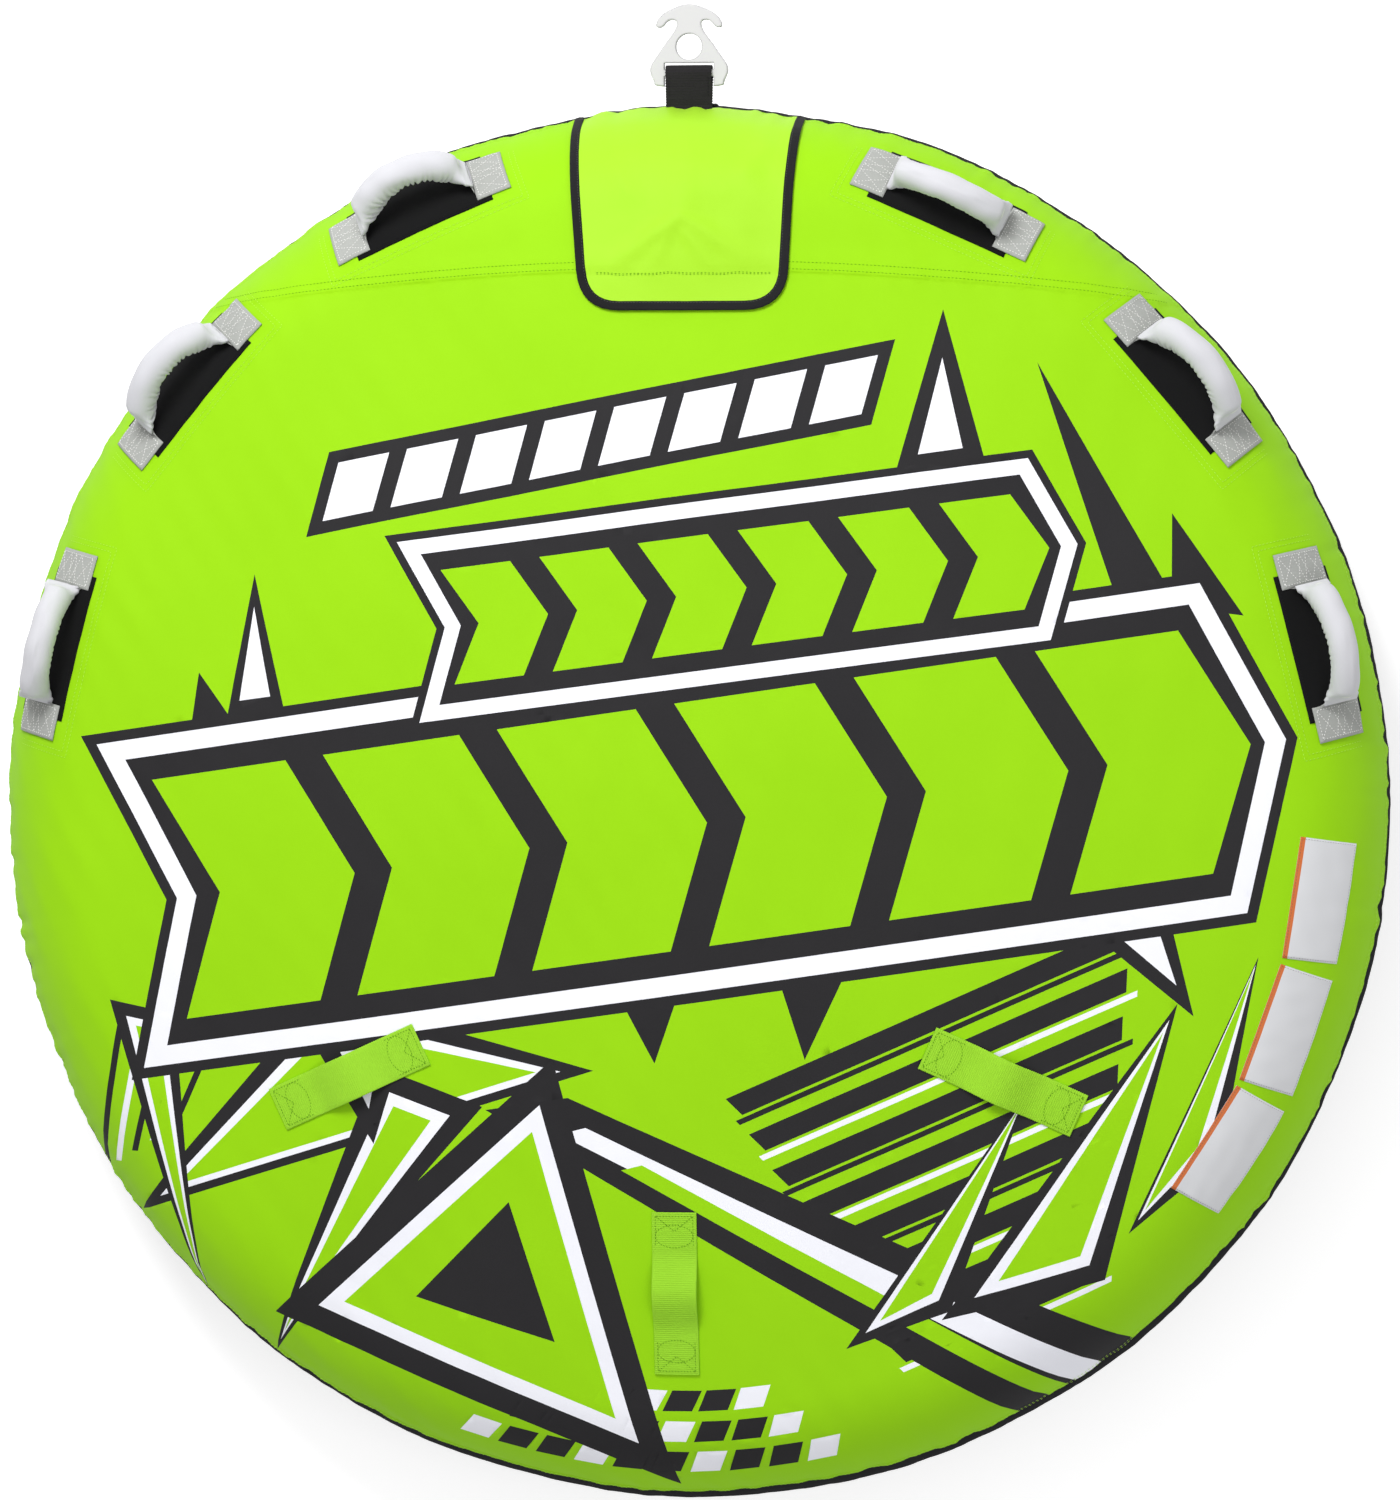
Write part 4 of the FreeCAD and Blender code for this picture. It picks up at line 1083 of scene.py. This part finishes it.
def make_flap():
    """The flap's cloth, 1 mm thick, cut to its outline."""
    shape = flap_outline(BINDING_WIDTH * 0.6)
    s, turn = place_on(*np.transpose(path(*shape, shape[0], spacing=6 * MM)[:-1]))
    outline = [flat_point(a, b) for a, b in zip(np.minimum(s, FLAP_S_TOP), turn)]
    points = outline + [Vector((x, y)) for x in np.arange(-0.15, 0.1501, 0.005)
                        for y in np.arange(0.52, 0.86, 0.005)]
    made = delaunay_2d_cdt(points, [], [list(range(len(outline)))], 0, 1e-6, True)
    triangles = [tuple(triangle) for triangle, source in zip(made[2], made[5]) if source]
    xs, ys = np.transpose(made[0])
    s, turn = np.hypot(xs, ys), np.arctan2(ys, xs)
    radius = profile(s)[0]
    lift = flap_lift(radius * np.cos(turn), radius * np.sin(turn))
    top, _ = on_cloth(s, turn, lift + 0.5 * MM)
    bottom, _ = on_cloth(s, turn, lift - 0.5 * MM)
    count = len(top)
    faces = triangles + [tuple(k + count for k in t[::-1]) for t in triangles]
    sides = [(a, b) for t in triangles for a, b in zip(t, t[1:] + t[:1])]
    inner = set(sides)
    faces += [(b, a, a + count, b + count) for a, b in sides if (b, a) not in inner]
    piece = add_piece("flap_cloth", np.concatenate([top, bottom]), faces, [FLAP_GREEN], None)
    bend_at_flap_hinge(piece)
    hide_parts("flap_panel")
    return piece


def make_flap_binding():
    """The folded tape round the flap, and the flap's stitches."""
    xs, ys = np.transpose(path(*flap_outline(BINDING_WIDTH / 2), spacing=4 * MM))
    centres, normals = on_flap(xs, ys)
    sides = unit(np.cross(normals, np.gradient(centres, axis=0)))
    piece = swept("flap_edge_binding", centres, sides, normals, BINDING_WIDTH / 2, 1.5 * MM, BINDING, None)
    bend_at_flap_hinge(piece)
    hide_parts("flap_binding")
    thread = Thread("flap_stitching", THREAD_GREEN, "flap", "deck_fabric", 0.8 * MM)
    xs = np.linspace(FLAP_SKEW - 0.100, FLAP_SKEW + 0.100, 60)
    for y in (FLAP_FOOT + 0.042, FLAP_FOOT + 0.0405):
        thread.row(*on_flap(xs, y + 0.6 * MM * waves(xs, 0 * xs, 0.05, 31), 0.6 * MM), 4.2 * MM)
    thread.sew()
    edge = Thread("binding_stitching", THREAD_DARK, None, "black_tape", 0.5 * MM)
    spots = path(*flap_outline(BINDING_WIDTH - 2.2 * MM), spacing=4 * MM)
    edge.row(*on_flap(*np.transpose(spots), 1.2 * MM), 3.4 * MM)
    edge.sew()
    return piece


def make_fasteners():
    """The two halves of the flap's closure."""
    us = np.linspace(FLAP_SKEW - 0.085, FLAP_SKEW + 0.085, 90)
    vs = np.linspace(FLAP_FOOT + 0.015, FLAP_FOOT + 0.041, 16)
    u, v = np.meshgrid(us, vs, indexing="ij")
    s, turn = place_on(u, v)
    fuzz = 0.12 * MM * waves(u, v, 0.004, 50)
    for name, body, under, over, node_name in (
            ("closure_loops", "tube", 0.15 * MM, 1.3 * MM, "deck_loop_tape"),
            ("closure_hooks", "flap", 2.0 * MM, 2.9 * MM, "flap_hook_tape")):
        top, _ = on_cloth(s, turn, over + fuzz)
        bottom, _ = on_cloth(s, turn, under)
        piece = slab(name, top, bottom, [BINDING], body)
        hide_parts(node_name)


# ---------------------------------------------------------------- tow strap, harness and zipper
TOW_HALF = 0.0265
TOW_RIB = 2 * math.pi / 0.0030
LOOP_RADIUS, ROOT_HALF = 8 * MM, 1.3 * MM


def tow_route(reach):
    """The doubled strap seen from the side, the hook's bar at the origin, in even steps."""
    distance = math.hypot(reach, ROOT_HALF)
    tangent = math.pi - math.acos(LOOP_RADIUS / distance) - math.atan2(ROOT_HALF, reach)
    upper = path((-reach - 0.008, ROOT_HALF), (-reach, ROOT_HALF),
                 (LOOP_RADIUS * math.cos(tangent), LOOP_RADIUS * math.sin(tangent)), spacing=0.6 * MM)
    arc = [(LOOP_RADIUS * math.cos(t), LOOP_RADIUS * math.sin(t)) for t in np.linspace(tangent, -tangent, 60)]
    route = np.array(upper[:-1] + arc + [(x, -y) for x, y in upper[::-1]][1:])
    travel = travelled(route)
    even = np.arange(0, travel[-1], 0.6 * MM)
    return even, np.stack([np.interp(even, travel, route[:, k]) for k in (0, 1)], 1)


def make_tow_strap():
    """Ribbed webbing doubled round the hook's bar."""
    bar, foot = JOINTS["tow_hook_swing"]["pos_m"], JOINTS["tow_strap_swing"]["pos_m"]
    reach = bar[1] - foot[1]
    even, route = tow_route(reach)
    ahead = unit(np.gradient(route, axis=0))
    out = np.stack([-ahead[:, 1], ahead[:, 0]], 1)
    w, run = np.meshgrid(webbing_columns(TOW_HALF), even)
    selvedge = ramp(TOW_HALF - np.abs(w), 0, 2 * MM)
    edge_wave = 0.35 * MM * np.sin(run * 2 * math.pi / 0.0031) * (np.abs(w) > TOW_HALF - 0.5 * MM)
    thick = 1.0 * MM * (0.75 + 0.25 * selvedge) + 0.18 * MM * np.sin(run * TOW_RIB)

    def layer(side):
        shape = route[:, None, :] + out[:, None, :] * (side * thick)[..., None]
        return np.stack([w + edge_wave, bar[1] + shape[..., 0], bar[2] + shape[..., 1]], -1)

    piece = slab("tow_webbing_loop", layer(1), layer(-1), [TOW_WEBBING], None)
    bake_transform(piece)
    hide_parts("tow_strap")
    thread = Thread("tow_strap_stitching", THREAD_BLACK, "tow_strap", "tow_webbing", 0.8 * MM)
    ys = np.linspace(foot[1] + 0.010, bar[1] - 0.004, 12)
    zs = bar[2] + 2.6 * MM + (ys - foot[1]) / reach * 7.6 * MM
    for x in (-TOW_HALF + 4 * MM, TOW_HALF - 4 * MM):
        points = np.stack([np.full(12, x), ys, zs], 1)
        thread.row(points, np.tile([0, -0.2, 1.0], (12, 1)), 3.2 * MM)
    thread.sew()


HARNESS_END = 0.512
ZIP_Y = -0.600


def make_harness():
    """The tow webbing that runs under the tube's nose."""
    s_start = S_DOME + EDGE_RADIUS * (math.radians(81) - DOME_SLOPE)
    s_end = S_FLOOR - BELLY * math.asin((HARNESS_END - FLOOR_RADIUS) / BELLY)
    s, x = np.meshgrid(np.linspace(s_start, s_end, 400), np.linspace(-TOW_HALF, TOW_HALF, 12), indexing="ij")
    turn = math.pi / 2 - x / profile(s)[0]
    top, _ = on_cloth(s, turn, 2.1 * MM + 0.2 * MM * np.sin(s * STRAP_RIB))
    bottom, _ = on_cloth(s, turn, 0.2 * MM)
    piece = slab("tow_harness_webbing", top, bottom, [TOW_WEBBING])
    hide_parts("tow_harness")


def under_belly(half_length, half_width, counts):
    """A grid of plan points about the zipper's middle, and a way to lay it under the belly."""
    x, y = np.meshgrid(np.linspace(-half_length, half_length, counts[0]),
                       np.linspace(ZIP_Y - half_width, ZIP_Y + half_width, counts[1]), indexing="ij")
    s = S_FLOOR - BELLY * np.arcsin((np.hypot(x, y) - FLOOR_RADIUS) / BELLY)
    return x, y, lambda lift: on_cloth(s, np.arctan2(y, x), lift)[0]


def make_zipper():
    """The zipper's tape and its teeth."""
    _, _, laid = under_belly(0.135, 0.017, (60, 10))
    tape = slab("zipper_cloth", laid(0.15 * MM), laid(-0.3 * MM), [BINDING])
    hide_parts("zipper_tape")
    x, y, laid = under_belly(0.119, 0.003, (480, 7))
    teeth = 0.25 * MM * np.sin(x * 2 * math.pi / 0.002) * np.cos((y - ZIP_Y) * 2 * math.pi / 0.012)
    coil = slab("zipper_teeth", laid(0.45 * MM + teeth), laid(0), [ZIP_BLACK])
    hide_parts("zipper_coil")


def dress_cad_nodes():
    """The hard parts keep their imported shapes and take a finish."""
    finishes = {"tow_hook": HOOK_WHITE, "valve_body": VALVE_BLACK, "valve_cap": VALVE_BLACK,
                "valve_membrane": VALVE_BLACK, "zipper_slider": ZIP_METAL, "drain_grommets": EYELET}
    for name, material in finishes.items():
        mesh = frame["nodes"][name].data
        mesh.materials.clear()
        mesh.materials.append(material)


# ---------------------------------------------------------------- build
make_deck()
make_underside()
make_bladder()
make_cover_threads()
HANDLES = [joint["child"] for name, joint in JOINTS.items() if name.startswith("handle_")]
for handle_number, handle in enumerate(HANDLES):
    make_handle(handle, 40 + handle_number * 7)
make_boarding_strap("boarding_strap_rear", 0.552, -90, 90)
make_boarding_strap("boarding_strap_left", 0.484, -140.3, 24.5)
make_boarding_strap("boarding_strap_right", 0.484, -39.7, -24.5)
for patch_number in (1, 2, 3):
    make_patch(patch_number)
flap_cloth = make_flap()
flap_edge = make_flap_binding()
make_fasteners()
make_tow_strap()
make_harness()
make_zipper()
dress_cad_nodes()


# ---------------------------------------------------------------- floor, light and camera
def make_stage():
    """A white floor that glows for the camera alone."""
    bpy.ops.mesh.primitive_plane_add(size=40, location=(0, 0, 0))
    floor = bpy.context.object
    floor.name = "floor"
    material, tree, shader = new_material("floor_white")
    set_inputs(shader, Base_Color=(0.92, 0.92, 0.92, 1), Roughness=0.9, Emission_Color=(1, 1, 1, 1))
    rays = tree.nodes.new("ShaderNodeLightPath")
    glow = maths(tree, "MULTIPLY", rays.outputs["Is Camera Ray"], 0.5)
    tree.links.new(glow, shader.inputs["Emission Strength"])
    floor.data.materials.append(material)


def area_light(name, location, target, width, power):
    lamp = bpy.data.lights.new(name, "AREA")
    lamp.shape = "DISK"
    lamp.size = width
    lamp.energy = power
    item = bpy.data.objects.new(name, lamp)
    item.location = location
    item.rotation_euler = (Vector(target) - Vector(location)).to_track_quat("-Z", "Y").to_euler()
    bpy.context.collection.objects.link(item)


CAMERA_DISTANCE = 9.0
VIEW_HEIGHT = 1.719 / 0.996
SENSOR = 36


def make_camera():
    """It looks down on the deck from far off, and from a little to the right."""
    lean_right, lean_nose = math.radians(7.4), math.radians(1.1)
    back = Vector((math.tan(lean_right), math.tan(lean_nose), 1)).normalized()
    up = (Vector((0, 1, 0)) - back * back.y).normalized()
    right = up.cross(back)
    aim = Vector((0, 0, EDGE_HEIGHT)) + up * 0.060 + right * 0.007
    camera_data = bpy.data.cameras.new("camera")
    camera_data.sensor_width = SENSOR
    camera_data.lens = SENSOR * CAMERA_DISTANCE / VIEW_HEIGHT
    camera_data.clip_end = 100
    camera = bpy.data.objects.new("camera", camera_data)
    camera.location = aim + back * CAMERA_DISTANCE
    camera.rotation_euler = Matrix((right, up, back)).transposed().to_euler()
    bpy.context.collection.objects.link(camera)
    bpy.context.scene.camera = camera


make_stage()
world = bpy.data.worlds.new("studio")
world.use_nodes = True
set_inputs(world.node_tree.nodes["Background"], Color=(1, 1, 1, 1), Strength=0.50)
bpy.context.scene.world = world
area_light("key", (-0.9, 3.0, 3.6), (0, 0.1, 0.2), 2.0, 165)
area_light("fill", (2.2, -1.6, 4.6), (0, 0, 0.2), 3.0, 45)
make_camera()
bpy.context.scene.view_settings.view_transform = "Standard"
